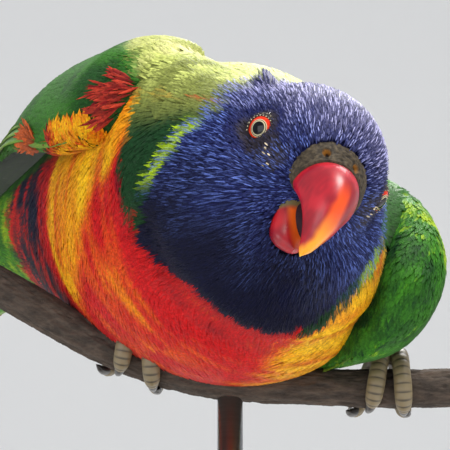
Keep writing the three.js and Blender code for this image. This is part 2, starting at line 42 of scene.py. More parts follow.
CAMERA_AT = (0.004, -0.4741, 0.0141)
CAMERA_TILT = 106
camera = bpy.data.objects.new("camera", bpy.data.cameras.new("camera"))
camera.data.sensor_width = SENSOR
camera.data.lens = LENS_LENGTH
camera.data.clip_start = 0.01
camera.location = CAMERA_AT
camera.rotation_euler = (np.radians(CAMERA_TILT), 0, 0)
bpy.context.scene.collection.objects.link(camera)
bpy.context.scene.camera = camera
bpy.context.scene.view_settings.view_transform = "Standard"


# Floor and backdrop: one sheet of pale matt paper that lies flat under the stand and curves up
# behind it.
def put(name, points, faces, smooth=True):
    """A mesh object of points in millimetres and of faces with equal numbers of corners."""
    faces = np.asarray(faces, np.int32)
    mesh = bpy.data.meshes.new(name)
    mesh.vertices.add(len(points))
    mesh.vertices.foreach_set("co", (np.asarray(points, float) * 0.001).ravel())
    mesh.loops.add(faces.size)
    mesh.loops.foreach_set("vertex_index", faces.ravel())
    mesh.polygons.add(len(faces))
    mesh.polygons.foreach_set("loop_start", np.arange(0, faces.size, faces.shape[1], dtype=np.int32))
    mesh.polygons.foreach_set("use_smooth", np.full(len(faces), smooth))
    mesh.update(calc_edges=True)
    piece = bpy.data.objects.new(name, mesh)
    bpy.context.scene.collection.objects.link(piece)
    return piece


def grid_faces(rows, columns, closed, looped=False):
    """Quads over a grid of rows and columns; with closed, the last column joins the first, and
    with looped, the last row joins the first."""
    across = np.arange(columns if closed else columns - 1)
    i, j = np.meshgrid(np.arange(rows if looped else rows - 1), across, indexing="ij")
    following = (j + 1) % columns
    above = (i + 1) % rows
    corners = (i * columns + j, i * columns + following, above * columns + following, above * columns + j)
    return np.stack(corners, -1).reshape(-1, 4)


def finish_of(name, roughness):
    """A new material and its shader, with the given roughness."""
    material = bpy.data.materials.new(name)
    material.use_nodes = True
    shader = material.node_tree.nodes["Principled BSDF"]
    shader.inputs["Roughness"].default_value = roughness
    return material, shader


PAPER_HALF = 6000
PAPER_FLAT = 900
PAPER_CURVE = 500
PAPER_TOP = 2600
curve_at = np.linspace(0, np.pi / 2, 24)[1:]
sweep = np.concatenate([
    [[-PAPER_HALF, 0], [PAPER_FLAT, 0]],
    np.stack([PAPER_FLAT + PAPER_CURVE * np.sin(curve_at), PAPER_CURVE - PAPER_CURVE * np.cos(curve_at)], 1),
    [[PAPER_FLAT + PAPER_CURVE, PAPER_TOP]],
])
paper_x = np.tile([-PAPER_HALF, PAPER_HALF], len(sweep))
paper_points = np.concatenate([paper_x[:, None], np.repeat(sweep, 2, axis=0)], 1)
paper = put("backdrop", paper_points, grid_faces(len(sweep), 2, False))
paper_finish, paper_shader = finish_of("pale paper", 0.9)
paper_shader.inputs["Base Color"].default_value = (0.8, 0.8, 0.79, 1)
paper.data.materials.append(paper_finish)


# Studio light: a broad soft lamp above and to the right, a second behind that lights the crown and
# the back, a weak fill from the left, and an even pale surround.
def lamp(name, place, size, power, colour=(1, 1, 1)):
    """A square area lamp in metres that points at the bird."""
    light = bpy.data.lights.new(name, "AREA")
    light.size = size
    light.energy = power
    light.color = colour
    piece = bpy.data.objects.new(name, light)
    piece.location = place
    piece.rotation_euler = (Vector((0, 0, 0.15)) - Vector(place)).to_track_quat("-Z", "Y").to_euler()
    bpy.context.scene.collection.objects.link(piece)


lamp("key", (0.3, -0.35, 0.8), 0.3, 8, (1, 0.97, 0.92))
lamp("back", (0.2, 0.4, 0.75), 0.25, 6, (1, 0.98, 0.95))
lamp("fill", (-0.6, -0.7, 0.2), 0.6, 3.5, (0.96, 0.98, 1))
surround = bpy.data.worlds.new("surround")
surround.use_nodes = True
surround.node_tree.nodes["Background"].inputs["Color"].default_value = (0.9, 0.93, 1, 1)
surround.node_tree.nodes["Background"].inputs["Strength"].default_value = 0.62
bpy.context.scene.world = surround


# Display stand: a turned disc of dark oiled wood and a bright steel rod that is let into it and
# into the underside of the branch.
def turned(profile, sides):
    """Each point of a profile of [radius, height] goes round the upright axis."""
    profile = np.asarray(profile, float)
    angle = np.arange(sides) / sides * 2 * np.pi
    ring = np.stack([np.cos(angle), np.sin(angle)], 1)
    flat = profile[:, None, :1] * ring[None]
    height = np.broadcast_to(profile[:, None, 1:], flat.shape[:2] + (1,))
    return np.concatenate([flat, height], 2).reshape(-1, 3)


def ride_as(piece, material, slot, *nodes):
    """The piece gets its material, rides on the part and stands for its nodes. slot is not used."""
    piece.data.materials.append(material)
    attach(piece, "root")
    if nodes:
        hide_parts(*nodes)
    return piece


def textured(name, roughness, noise, tones=None, relief=None, stretch=None, run=None, tinted=False,
             shine=None):
    """A material of noise over the piece, or over the mesh's own run of places, stretched along its
    axes. tones are two levels of the noise and their colours, which multiply the mesh's own tint
    where tinted. relief is the strength and the depth of the bumps. shine goes to the shader."""
    material, shader = finish_of(name, roughness)
    tree = material.node_tree

    def add(kind, **settings):
        node = tree.nodes.new(kind)
        for key, value in settings.items():
            if key in node.inputs:
                node.inputs[key].default_value = value
            else:
                setattr(node, key, value)
        return node

    if run:
        place = add("ShaderNodeAttribute", attribute_name=run).outputs["Vector"]
    else:
        place = add("ShaderNodeTexCoord").outputs["Object"]
    if stretch:
        mapping = add("ShaderNodeMapping", Scale=stretch)
        tree.links.new(place, mapping.inputs["Vector"])
        place = mapping.outputs["Vector"]
    grain = add("ShaderNodeTexNoise", **noise)
    tree.links.new(place, grain.inputs["Vector"])
    if tinted:
        colour = add("ShaderNodeAttribute", attribute_name="tint").outputs["Color"]
    if tones:
        tone = add("ShaderNodeValToRGB")
        for stop, (level, shade) in zip(tone.color_ramp.elements, tones):
            stop.position = level
            stop.color = (*shade, 1)
        tree.links.new(grain.outputs["Fac"], tone.inputs["Fac"])
    if tinted and tones:
        blend = add("ShaderNodeMix", data_type="RGBA", blend_type="MULTIPLY")
        blend.inputs[0].default_value = 1.0
        tree.links.new(colour, blend.inputs[6])
        tree.links.new(tone.outputs["Color"], blend.inputs[7])
        colour = blend.outputs[2]
    elif tones:
        colour = tone.outputs["Color"]
    tree.links.new(colour, shader.inputs["Base Color"])
    if relief:
        bump = add("ShaderNodeBump", Strength=relief[0], Distance=relief[1])
        tree.links.new(grain.outputs["Fac"], bump.inputs["Height"])
        tree.links.new(bump.outputs["Normal"], shader.inputs["Normal"])
    for key, value in (shine or {}).items():
        shader.inputs[key].default_value = value
    return material


BASE_RADIUS = 56
BASE_THICK = 8
BASE_SIDES = 160
EDGE = 1.2
AXIS = 0.01
base_profile = [[AXIS, 0], [BASE_RADIUS - 0.5, 0], [BASE_RADIUS, 0.5]]
base_profile += [[BASE_RADIUS - EDGE + EDGE * np.cos(a), BASE_THICK - EDGE + EDGE * np.sin(a)]
                 for a in np.linspace(0, np.pi / 2, 7)]
base_profile += [[BASE_RADIUS * 0.6, BASE_THICK], [AXIS, BASE_THICK]]
base = put("stand_foot", turned(base_profile, BASE_SIDES), grid_faces(len(base_profile), BASE_SIDES, True))
wood = textured("oiled dark wood", 0.45, {"Scale": 4.0, "Detail": 8.0, "Roughness": 0.65},
                [(0, (0.018, 0.010, 0.006)), (1, (0.085, 0.048, 0.027))], (0.25, 0.0004), (14, 120, 14))
ride_as(base, wood, "stand_base", "stand_base")

ROD_RADIUS = 2.5
ROD_X = 5
ROD_FOOT = BASE_THICK - 0.4
ROD_TOP = 114.6
ROD_SIDES = 48
rod_profile = [[AXIS, ROD_FOOT], [ROD_RADIUS, ROD_FOOT], [ROD_RADIUS, ROD_TOP], [AXIS, ROD_TOP]]
rod_points = turned(rod_profile, ROD_SIDES) + np.array([ROD_X, 0, 0])
rod = put("stand_pin", rod_points, grid_faces(len(rod_profile), ROD_SIDES, True))
steel = textured("brushed steel", 0.28, {"Scale": 3.0, "Detail": 4.0},
                 [(0, (0.42, 0.42, 0.43)), (1, (0.62, 0.62, 0.63))], (0.12, 0.0001), (60, 60, 900),
                 shine={"Metallic": 1.0})
ride_as(rod, steel, "stand_rod", "stand_rod")


# Perch: a cut length of rough dark branch. Its bark is cracked lengthwise and swells here and
# there, and its two ends are sawn square.
def through(rows, t):
    """A smooth curve through rows of numbers, read at every t from 0 to 1: Catmull-Rom spans."""
    rows = np.asarray(rows, float)
    span = np.clip(np.asarray(t, float), 0, 1) * (len(rows) - 1)
    i = np.minimum(span.astype(int), len(rows) - 2)
    f = (span - i)[..., None]
    before, here, after, beyond = (rows[np.clip(i + k, 0, len(rows) - 1)] for k in (-1, 0, 1, 2))
    slope_in, slope_out, rise = (after - before) / 2, (beyond - here) / 2, after - here
    curve = 3 * rise - 2 * slope_in - slope_out + f * (slope_in + slope_out - 2 * rise)
    return here + f * (slope_in + f * curve)


def lumps(points, size, seed):
    """Smooth noise from -1 to 1: random values on a lattice of the given size, blended between."""
    place = np.asarray(points, float) / size + 1000
    cell = np.floor(place).astype(np.int64)
    part = place - cell
    part = part * part * (3 - 2 * part)
    total = np.zeros(place.shape[:-1])
    for corner in range(8):
        step = np.array([corner & 1, corner >> 1 & 1, corner >> 2 & 1])
        key = ((cell + step) * np.array([73856093, 19349663, 83492791])).sum(-1) + seed * 2654435761
        key = (key ^ (key >> 13)) * 1274126177 & 0x7FFFFFFF
        value = (key ^ (key >> 16)) % 65521 / 65521 * 2 - 1
        weight = np.where(step == 1, part, 1 - part).prod(-1)
        total += value * weight
    return total


def rope(centres, radii, sides, across=(0, 0, 1)):
    """A ring of sides points round each point of a path, square to the way the path runs, and the
    directions out from the path to them."""
    way = np.gradient(centres, axis=0)
    way /= np.linalg.norm(way, axis=1, keepdims=True)
    side = np.cross(np.asarray(across, float), way)
    side /= np.linalg.norm(side, axis=1, keepdims=True)
    over = np.cross(way, side)
    angle = np.arange(sides) / sides * 2 * np.pi
    out = side[:, None] * np.cos(angle)[None, :, None] + over[:, None] * np.sin(angle)[None, :, None]
    return centres[:, None] + out * np.asarray(radii)[..., None], out


def closed_rows(points, steps):
    """A grid of rings, its first and its last one drawn in to their middles in a few steps."""
    shares = np.linspace(0, 1, steps + 1)[:-1, None, None]
    first, last = points[:1].mean(1, keepdims=True), points[-1:].mean(1, keepdims=True)
    closing = (last + shares * (points[-1:] - last))[::-1]
    return np.concatenate([first + shares * (points[:1] - first), points, closing])


PERCH_HEIGHT = 117
PERCH_RADIUS = 3.8
PERCH_RISE = [
    [-52, 27, 0.95], [-34, 16.5, 1.05], [-20, 8.5, 0.98], [-6, 3.2, 1.02],
    [8, 0.8, 1.04], [24, 0, 0.97], [42, -0.2, 1], [60, 0.5, 1.04],
]
PERCH_SIDES = 112
BARK_ROUND = 3.6
perch_rows = [[x, 0, PERCH_HEIGHT + rise, PERCH_RADIUS * share] for x, rise, share in PERCH_RISE]
branch_rows = through(perch_rows, np.linspace(0, 1, 420))
angle = np.arange(PERCH_SIDES) / PERCH_SIDES * 2 * np.pi
bark_place = np.stack(np.broadcast_arrays(
    branch_rows[:, :1] * 0.22, BARK_ROUND * np.cos(angle)[None], BARK_ROUND * np.sin(angle)[None]), -1)
cracks = 0.34 * lumps(bark_place, 0.75, 3) + 0.2 * lumps(bark_place, 0.33, 4)
swell = 0.35 * lumps(bark_place * 0.3, 1.1, 5)
fine = 0.07 * lumps(bark_place * np.array([3, 1, 1]), 0.2, 6)
bark_radius = branch_rows[:, 3:] - 0.1 + np.minimum(cracks, 0.12) + swell + fine
bark_points, _ = rope(branch_rows[:, :3], bark_radius, PERCH_SIDES)
branch_points = closed_rows(bark_points, 6)
branch = put("branch", branch_points.reshape(-1, 3), grid_faces(len(branch_points), PERCH_SIDES, True))
bark = textured("bark", 0.88, {"Scale": 1.0, "Detail": 8.0, "Roughness": 0.7},
                [(0.3, (0.010, 0.007, 0.005)), (0.72, (0.095, 0.066, 0.048))], (0.7, 0.0006),
                (220, 700, 700))
ride_as(branch, bark, "perch_bark", "perch")


# Skin: one closed form for rump, breast, hood and head. Five rounded forms, the torso, the neck,
# the head and a pad at each shoulder, are joined, evened, and drawn in by the depth of the coat.
def facing(heading, pitch, roll, origin):
    """Columns forward, left and up of a form that faces -Y before it turns, pitches and rolls."""
    h, p, r = np.radians([heading, pitch, roll])
    forward = np.array([np.sin(h) * np.cos(p), -np.cos(h) * np.cos(p), np.sin(p)])
    level = np.array([np.cos(h), np.sin(h), 0])
    above = np.cross(forward, level)
    left = level * np.cos(r) - above * np.sin(r)
    return np.stack([forward, left, above * np.cos(r) + level * np.sin(r)], 1), np.asarray(origin, float)


def placed(points, axes):
    """Points of a form's own axes in the part's axes."""
    return points @ axes[0].T + axes[1]


def seen_from(points, axes):
    """Points of the part in a form's own axes."""
    return (points - axes[1]) @ axes[0]


BODY = facing(30, -2, 29, (3.4, -5.2, PERCH_HEIGHT + 32.2))
HEAD = facing(16, -24, 25, placed(np.array([43, -4.4, -0.7]), BODY))
BEND_FROM = 5
BEND = 0.0031
RUMP = -60
TAIL_STRAIGHTENS = 0.75


def bend(s):
    """How far the body's axis curves to the left: a parabola, and a straight line past the rump."""
    s = np.asarray(s, float)
    past = 2 * BEND * (BEND_FROM - RUMP) * np.minimum(s - RUMP, 0) * TAIL_STRAIGHTENS
    return -BEND * np.maximum(BEND_FROM - np.maximum(s, RUMP), 0) ** 2 + past


def oval_form(rows, rings, sides):
    """Ovals between a top and a bottom point, widest at a level between them, along smooth rows."""
    row = through(rows, np.linspace(0, 1, rings))
    top_x, top_z, low_x, low_z, half, level, shift = row.T[:, :, None]
    turn = np.arange(sides)[None] / sides * 2 * np.pi
    lift, upper = np.abs(np.cos(turn)), np.cos(turn) > 0
    middle_x, middle_z = low_x + level * (top_x - low_x), low_z + level * (top_z - low_z)
    x = middle_x + lift * (np.where(upper, top_x, low_x) - middle_x)
    z = middle_z + lift * (np.where(upper, top_z, low_z) - middle_z)
    points = np.stack([x, shift + half * np.sin(turn), z], -1)
    if rows[0][4] == 0:
        points[0] = np.stack([middle_x, shift, middle_z], -1)[0]
    if rows[-1][4] == 0:
        points[-1] = np.stack([middle_x, shift, middle_z], -1)[-1]
    return points


TORSO_ROWS = [
    [-68, 2, -68, -2, 0, 0.5, bend(-68)], [-67, 5, -67, -6, 7, 0.5, bend(-67)],
    [-60, 10.5, -60, -9.5, 12.5, 0.5, bend(-60)], [-44, 18.5, -45, -15, 20, 0.5, bend(-44)],
    [-22, 26, -23, -25.5, 28, 0.5, bend(-22)], [0, 29, 0, -32, 32, 0.48, 0],
    [15, 27.5, 18, -31, 30.5, 0.47, 0], [23, 21, 28, -25, 24.5, 0.46, -1],
    [29, 12, 33, -19, 17, 0.46, -2], [31, 4, 34, -12, 8, 0.46, -2.5], [31.5, -4, 34, -8, 0, 0.46, -2.5],
]
NECK_ROWS = [
    [6, 6, 6, -10, 0, 0.5, 0], [8, 12, 8, -16, 12, 0.5, -0.5], [16, 22, 20, -27, 25.5, 0.5, -1.2],
    [23, 21.5, 29.5, -28.8, 26.8, 0.48, -2.3], [30, 17.5, 37, -24.5, 22, 0.48, -3.4],
    [36, 13, 44, -19.5, 15.5, 0.48, -4.2], [41, 4, 46, -12, 0, 0.5, -4.4],
]
HEAD_ROWS = [
    [-21, 2, -21, -8, 0, 0.5, 0], [-20, 7, -20, -13, 10, 0.5, 0], [-15, 11.5, -14, -17, 14.5, 0.5, 0],
    [-7, 13, -6, -18.5, 15.4, 0.5, 0], [0, 12, 0, -18.3, 13.7, 0.52, 0],
    [4.5, 9.4, 3.8, -17.2, 12.2, 0.55, 0], [7.4, 6, 6, -15.6, 9.4, 0.58, 0],
    [8.8, 2.2, 7.4, -13, 6.6, 0.6, 0], [9.2, -0.6, 8.2, -10, 0, 0.6, 0],
]
RIGHT_PAD = [
    [3, 11, 3, -4, 0, 0.6, -24], [5, 13, 5, -10, 6, 0.64, -25], [12, 16.5, 12, -15, 9, 0.66, -25],
    [18, 16, 18, -19, 9.5, 0.66, -24], [24, 13, 24, -21, 8.6, 0.66, -22],
    [29, 8, 29, -20, 6.6, 0.62, -19.5], [33, 2, 33, -14, 0, 0.6, -17],
]
LEFT_PAD = [
    [3, 14, 3, 2, 0, 0.5, 25], [5, 17, 5, 0, 5, 0.5, 25], [12, 21, 12, -3, 8.5, 0.5, 24],
    [18, 20, 18, -4, 9, 0.5, 22.5], [24, 15, 24, -4, 7.5, 0.5, 20], [28, 9, 28, -4, 4, 0.5, 17],
    [30, 5, 30, 0, 0, 0.5, 16],
]
VOXEL = 0.8
EVENING_PASSES = 14
SHRUNK_BY = 0.12
FORM_SIDES = 96
forms = []
form_faces = []
for rows, axes, rings in ((TORSO_ROWS, BODY, 90), (NECK_ROWS, BODY, 60), (HEAD_ROWS, HEAD, 70),
                          (RIGHT_PAD, BODY, 40), (LEFT_PAD, BODY, 40)):
    form_faces.append(grid_faces(rings, FORM_SIDES, True) + sum(len(f) for f in forms))
    forms.append(placed(oval_form(rows, rings, FORM_SIDES).reshape(-1, 3), axes))


def evened(name, points, faces, voxel, passes):
    """The outer skin of overlapping closed forms, remeshed and smoothed: points, normals, faces."""
    rough = put(name, points, faces)
    cells = rough.modifiers.new("cells", "REMESH")
    cells.mode = "VOXEL"
    cells.voxel_size = voxel * 0.001
    soft = rough.modifiers.new("soft", "SMOOTH")
    soft.factor = 0.5
    soft.iterations = passes
    whole = bpy.data.meshes.new_from_object(rough.evaluated_get(bpy.context.evaluated_depsgraph_get()))
    bpy.data.objects.remove(rough)
    count = len(whole.vertices)
    place = np.empty(count * 3, np.float32)
    whole.vertices.foreach_get("co", place)
    normal = np.empty(count * 3, np.float32)
    whole.vertex_normals.foreach_get("vector", normal)
    whole.calc_loop_triangles()
    corners = np.empty(len(whole.loop_triangles) * 3, np.int32)
    whole.loop_triangles.foreach_get("vertices", corners)
    bpy.data.meshes.remove(whole)
    return place.reshape(-1, 3) * 1000.0, normal.reshape(-1, 3).astype(float), corners.reshape(-1, 3)


def smoothstep(value, low, high):
    """Rises smoothly from 0 at low to 1 at high."""
    part = np.clip((value - low) / (high - low), 0, 1)
    return part * part * (3 - 2 * part)


flesh = evened("flesh", np.concatenate(forms), np.concatenate(form_faces), VOXEL, EVENING_PASSES)
flesh = (flesh[0] + SHRUNK_BY * flesh[1], flesh[1], flesh[2])

BEAK_ROOT = np.array([8.5, 0, -5])
EYE_POLE = np.array([1.25, 14, -0.25])
EYE_RADIUS = 3.7
GAZE = np.array([np.sin(np.radians(30)), np.cos(np.radians(30)), 0])
SIDES = {"left": 1, "right": -1}


def mirrored(place, head):
    """A place on the head's left side, given for each point on the side where that point lies."""
    return place * np.stack([np.ones(len(head)), np.sign(head[:, 1]), np.ones(len(head))], 1)


def from_eye(head):
    """The distance of points in the head's axes from the nearer eye's pole."""
    return np.linalg.norm(head - mirrored(EYE_POLE, head), axis=1)


def coat_depth(points):
    """How deep the coat is: a hair's breadth round eye and beak, most on the breast and back."""
    head = seen_from(points, HEAD)
    face = np.minimum(np.linalg.norm(head - BEAK_ROOT, axis=1) - 7, from_eye(head) - 3.5)
    return 0.15 + 0.75 * smoothstep(face, 0, 5) + 0.7 * smoothstep(face, 10, 24)


def navy_edge(turn):
    """Where the blue hood ends along the body, by the angle round it from the top, in degrees."""
    angles = [-180, -166, -151, -139, -128, -115, -98, -60, 0, 60, 98, 123, 139, 150, 162, 180]
    reach = [27.5, 27, 21.5, 19.5, 27, 32.5, 36.5, 33, 31, 33, 37, 38.5, 37, 32.5, 28.5, 27.5]
    return np.interp(turn, angles, reach)


def hue(code):
    """A colour of red, green and blue from 0 to 255, made linear."""
    value = np.array([int(code[i:i + 2], 16) for i in (1, 3, 5)]) / 255
    return np.where(value <= 0.04045, value / 12.92, ((value + 0.055) / 1.055) ** 2.4)


def mixed(low, high, share):
    """Colours between two colours, by a share for each point."""
    return low + (high - low) * np.asarray(share)[:, None]


# The lilac is a painted highlight of light on the crown.
NAVY, DEEP, SHAFT, LIT_LILAC = hue("#11174a"), hue("#080b28"), hue("#6076c6"), hue("#aaa8d6")
RED, CRIMSON, ORANGE, GOLD = hue("#bd1014"), hue("#7c0618"), hue("#d24c10"), hue("#e0900a")
# The cream is the collar's yellow-green, painted pale by sunlight.
YELLOW, SUNLIT_CREAM, OLIVE, LORE = hue("#efb812"), hue("#cfc88c"), hue("#707838"), hue("#332c2a")
GREEN, DARK_GREEN, LIME = hue("#38781a"), hue("#0f3617"), hue("#9ab814")
CHEEK = np.array([4.6, 11.0, -3.2])


def ramp(share, colours):
    """Colours spread evenly from 0 to 1 and read at each share."""
    stops = np.linspace(0, 1, len(colours))
    return np.stack([np.interp(share, stops, np.array(colours)[:, k]) for k in range(3)], 1)


def whereabouts(points):
    """The place of points along the body, their turn round it from the top, in degrees, negative on
    the right, and their place in the head's own axes."""
    body = seen_from(points, BODY)
    turn = np.degrees(np.arctan2(body[:, 1] - bend(body[:, 0]), body[:, 2]))
    return body[:, 0], turn, seen_from(points, HEAD)


def markings(points, fine=None):
    """The plumage's colour: its zones by the feathers' roots, given as points, and the thin bands
    that cross the breast by the places of their own points, given as fine."""
    s, turn, head = whereabouts(points)
    fine_s, fine_turn, _ = (s, turn, head) if fine is None else whereabouts(fine)
    side = np.abs(turn)
    arcs = np.stack([fine_s, fine_turn * 0.06, 0 * fine_s], 1)
    strand = lumps(arcs, 0.75, 11) * 0.6 + lumps(arcs * [1, 1.6, 1], 1.6, 14) * 0.7
    wide = lumps(np.stack([fine_s, fine_turn * 0.14, 0 * fine_s], 1), 4.2, 12)
    ragged = 1.3 * lumps(points, 1.6, 13) + 0.8 * lumps(points, 0.7, 15)
    # Breast: red beside the hood and below, gold at the sides, in thin bands of orange between.
    middle = np.interp(s, [-20, -8, 2, 9, 16, 24], [0.3, 0.44, 0.49, 0.42, 0.32, 0.26])
    reach = np.interp(side, [92, 107, 113, 120, 131, 144, 156], [30, 26, 15, 9, 3, -3, -10])
    reach = np.where(turn < 0, reach, 60)
    limit = np.where(turn < 0, 156, np.interp(s, [-20, 5, 15, 25], [146, 144, 148, 152]))
    golden = smoothstep(side + 3 * wide, limit + 9, limit - 15)
    golden = golden * smoothstep(s + 1.5 * wide, reach + 5, reach - 6)
    warmth = middle + (0.88 - middle) * golden * smoothstep(s + wide, -19, -12)
    warmth = np.clip(warmth + 0.22 * strand + 0.16 * wide, 0, 1)
    breast = ramp(warmth, [CRIMSON, RED, RED, ORANGE, GOLD, YELLOW])
    # Belly: dark blue with streaks of crimson, then the green and yellow vent.
    belly = ramp(np.clip(0.45 + 0.9 * strand + 0.5 * wide, 0, 1), [DEEP, DEEP, CRIMSON, RED])
    colour = mixed(breast, belly, smoothstep(s + 2 * ragged, -17, -22))
    vent = ramp(np.clip(0.5 + 0.5 * strand, 0, 1), [DARK_GREEN, GREEN, LIME])
    colour = mixed(colour, vent, smoothstep(s + 2 * ragged, -42, -48))
    # Back: green, with a yellow-green collar behind the head that turns olive at its sides; painted
    # sunlight makes the collar pale cream towards its top.
    back = ramp(np.clip(0.5 + 0.5 * wide, 0, 1), [DARK_GREEN, GREEN])
    nape = ramp(np.clip(0.62 + 0.45 * wide + 0.3 * strand - smoothstep(side, 62, 86) * 0.5, 0, 1),
                [OLIVE, OLIVE, LIME * 0.5 + SUNLIT_CREAM * 0.5, SUNLIT_CREAM])
    nape = mixed(nape, DARK_GREEN * 0.6 + GREEN * 0.4, smoothstep(turn, 25, 50))
    back = mixed(back, nape, smoothstep(s + 2 * ragged, 4, 11) * smoothstep(side - 0.9 * s, 80, 68))
    colour = mixed(back, colour, smoothstep(side + 2.2 * ragged, 88, 92))
    # Collar: dark green beside the hood, with a yellow-green streak on each side of the neck.
    edge = navy_edge(turn)
    streak = smoothstep(side, 98, 103) * smoothstep(side, 128, 121)
    streak = smoothstep(s + 0.4 * ragged, edge - 3.1, edge - 2.4) * streak
    streak = streak * smoothstep(s + 0.4 * ragged, edge + 0.1, edge - 0.7)
    collar = mixed(mixed(OLIVE, DARK_GREEN, smoothstep(side, 90, 104)), LIME, streak)
    begins = np.where(turn < 0, np.interp(turn, [-150, -140, -105, -90], [24, 19.3, 20.5, 20]), edge - 3.2)
    in_collar = smoothstep(s + ragged, begins - 0.7, begins + 0.7) * smoothstep(side + ragged, 88, 91)
    colour = mixed(colour, collar, in_collar * (side < 152))
    # Hood: navy, turning deep blue low on the head as painted shade towards the throat.
    hood = mixed(DEEP, NAVY, smoothstep(head[:, 2] + 5 * lumps(points, 5.0, 16), -24, -6))
    colour = mixed(colour, hood, smoothstep(s + 0.9 * ragged, edge - 0.6, edge + 0.6))
    near_eye = smoothstep(from_eye(head), 4.6, 3.5)
    from_cheek = (head - mirrored(CHEEK, head)) * [0.8, 1.0, 1.1]
    lore = smoothstep(np.linalg.norm(from_cheek, axis=1) + 0.8 * ragged, 4.4, 2.8)
    return mixed(colour, LORE, np.maximum(0.8 * near_eye, 0.85 * lore))


def unwrap(points):
    """Where a point lies on the flattened skin: the angle round it, and its place along it, with
    the head's half of the map beyond the body's."""
    body, head = seen_from(points, BODY), seen_from(points, HEAD)
    on_head = (body[:, 0] > 34) | (head[:, 0] > -8)
    around_body = np.arctan2(body[:, 1] - bend(body[:, 0]), body[:, 2])
    around_head = np.arctan2(head[:, 1], head[:, 2] + 3)
    u = np.where(on_head, around_head, around_body) / (2 * np.pi) + 0.5
    v = np.where(on_head, 0.66 + 0.3 * (head[:, 0] + 24) / 40, 0.02 + 0.6 * (body[:, 0] + 70) / 110)
    return np.clip(np.stack([0.01 + 0.98 * u, v], 1), 0.002, 0.996)


def coloured(piece, colours, spots):
    """Writes the colour of each point and its place on the flattened skin into the mesh."""
    mesh = piece.data
    tint = mesh.color_attributes.new("tint", "FLOAT_COLOR", "POINT")
    tint.data.foreach_set("color", np.concatenate([colours, np.ones((len(colours), 1))], 1).ravel())
    corner = np.empty(len(mesh.loops), np.int32)
    mesh.loops.foreach_get("vertex_index", corner)
    bake = mesh.uv_layers.new(name="OFBake")
    bake.data.foreach_set("uv", spots[corner].ravel())


def plumage_finish(name, roughness, sheen, fleck):
    """Feathers: the painted tint, broken by fine flecks, with a soft sheen and a barbed relief."""
    return textured(name, roughness, {"Scale": fleck, "Detail": 3.0, "Roughness": 0.6},
                    [(0.3, (0.62,) * 3), (0.7, (1.25,) * 3)], (0.35, 0.0002), tinted=True,
                    shine={"Sheen Weight": sheen, "Sheen Roughness": 0.4, "Specular IOR Level": 0.12})


skin_points = flesh[0] - flesh[1] * coat_depth(flesh[0])[:, None]
skin = put("skin", skin_points, flesh[2])
# The skin takes the plumage's colours at half their brightness, as painted shade deep under the coat.
coloured(skin, markings(flesh[0]) * 0.5, unwrap(flesh[0]))
ride_as(skin, plumage_finish("down", 0.9, 0.1, 900.0), "skin_feathers", "torso", "neck", "head")


# Under layer of the hood: short broad feathers, darkened as painted shade deep in the coat, that run
# back from the beak and fill the gaps between the fine ones over them. Each is a copy of one closed blade.
def field_of(points, normals, cell=2.0):
    """A lattice of the surface's mean point and normal in each cell, widened by two cells."""
    low = points.min(0) - 4 * cell
    shape = tuple(np.ceil((points.max(0) + 4 * cell - low) / cell).astype(int))
    index = np.ravel_multi_index(tuple(((points - low) / cell).astype(int).T), shape)
    sums = np.zeros((int(np.prod(shape)), 7))
    for k in range(3):
        sums[:, k] = np.bincount(index, points[:, k], len(sums))
        sums[:, 3 + k] = np.bincount(index, normals[:, k], len(sums))
    sums[:, 6] = np.bincount(index, minlength=len(sums))
    sums = sums.reshape(shape + (7,))
    for _ in range(2):
        wider = sum(np.roll(sums, step, axis) for axis in range(3) for step in (-1, 1))
        sums = np.where(sums[..., 6:] > 0, sums, wider)
    return low, cell, shape, sums.reshape(-1, 7)


def settled(points, heights, field):
    """Points moved along the surface's normal until each is at its height over the surface, and
    the surface's normal there."""
    low, cell, shape, sums = field
    for _ in range(2):
        where = np.clip(((points - low) / cell).astype(int), 0, np.array(shape) - 1)
        here = sums[np.ravel_multi_index(tuple(where.T), shape)]
        count = np.maximum(here[:, 6:], 1)
        normal = here[:, 3:6] / np.maximum(np.linalg.norm(here[:, 3:6], axis=1, keepdims=True), 1e-9)
        above = ((points - here[:, :3] / count) * normal).sum(1)
        shift = np.where(here[:, 6] > 0, heights - above, 0)
        points = points + normal * np.clip(shift, -6, 6)[:, None]
    return points, normal


def scattered(surface, spacing, keep, seed):
    """Evenly spread root points on a surface: many random points, thinned to one in each cell of
    the local spacing, with the normal there. keep says how closely they stand, 0 for none. Where
    the surface's points have more than three numbers, the roots have them too."""
    points, normals, faces = surface
    rng = np.random.default_rng(seed)
    corner = points[faces]
    cross = np.cross(corner[:, 1, :3] - corner[:, 0, :3], corner[:, 2, :3] - corner[:, 0, :3])
    share = np.linalg.norm(cross, axis=1) / 2 * keep(corner.mean(1))
    count = int(4 * share.sum() / spacing ** 2)
    face = rng.choice(len(faces), count, p=share / share.sum())
    u, v = rng.random((2, count, 1))
    flip = (u + v) > 1
    u, v = np.where(flip, 1 - u, u), np.where(flip, 1 - v, v)
    mix = [1 - u - v, u, v]
    place = sum(m * points[faces[face, k]] for k, m in enumerate(mix))
    normal = sum(m * normals[faces[face, k]] for k, m in enumerate(mix))
    size = spacing / np.sqrt(np.clip(keep(place), 0.05, 1))
    cells = np.floor(place[:, :3] / size[:, None]).astype(np.int64)
    _, first = np.unique(cells @ np.array([1, 4001, 16008001]), return_index=True)
    normal = normal[first]
    return place[first], normal / np.linalg.norm(normal, axis=1, keepdims=True)


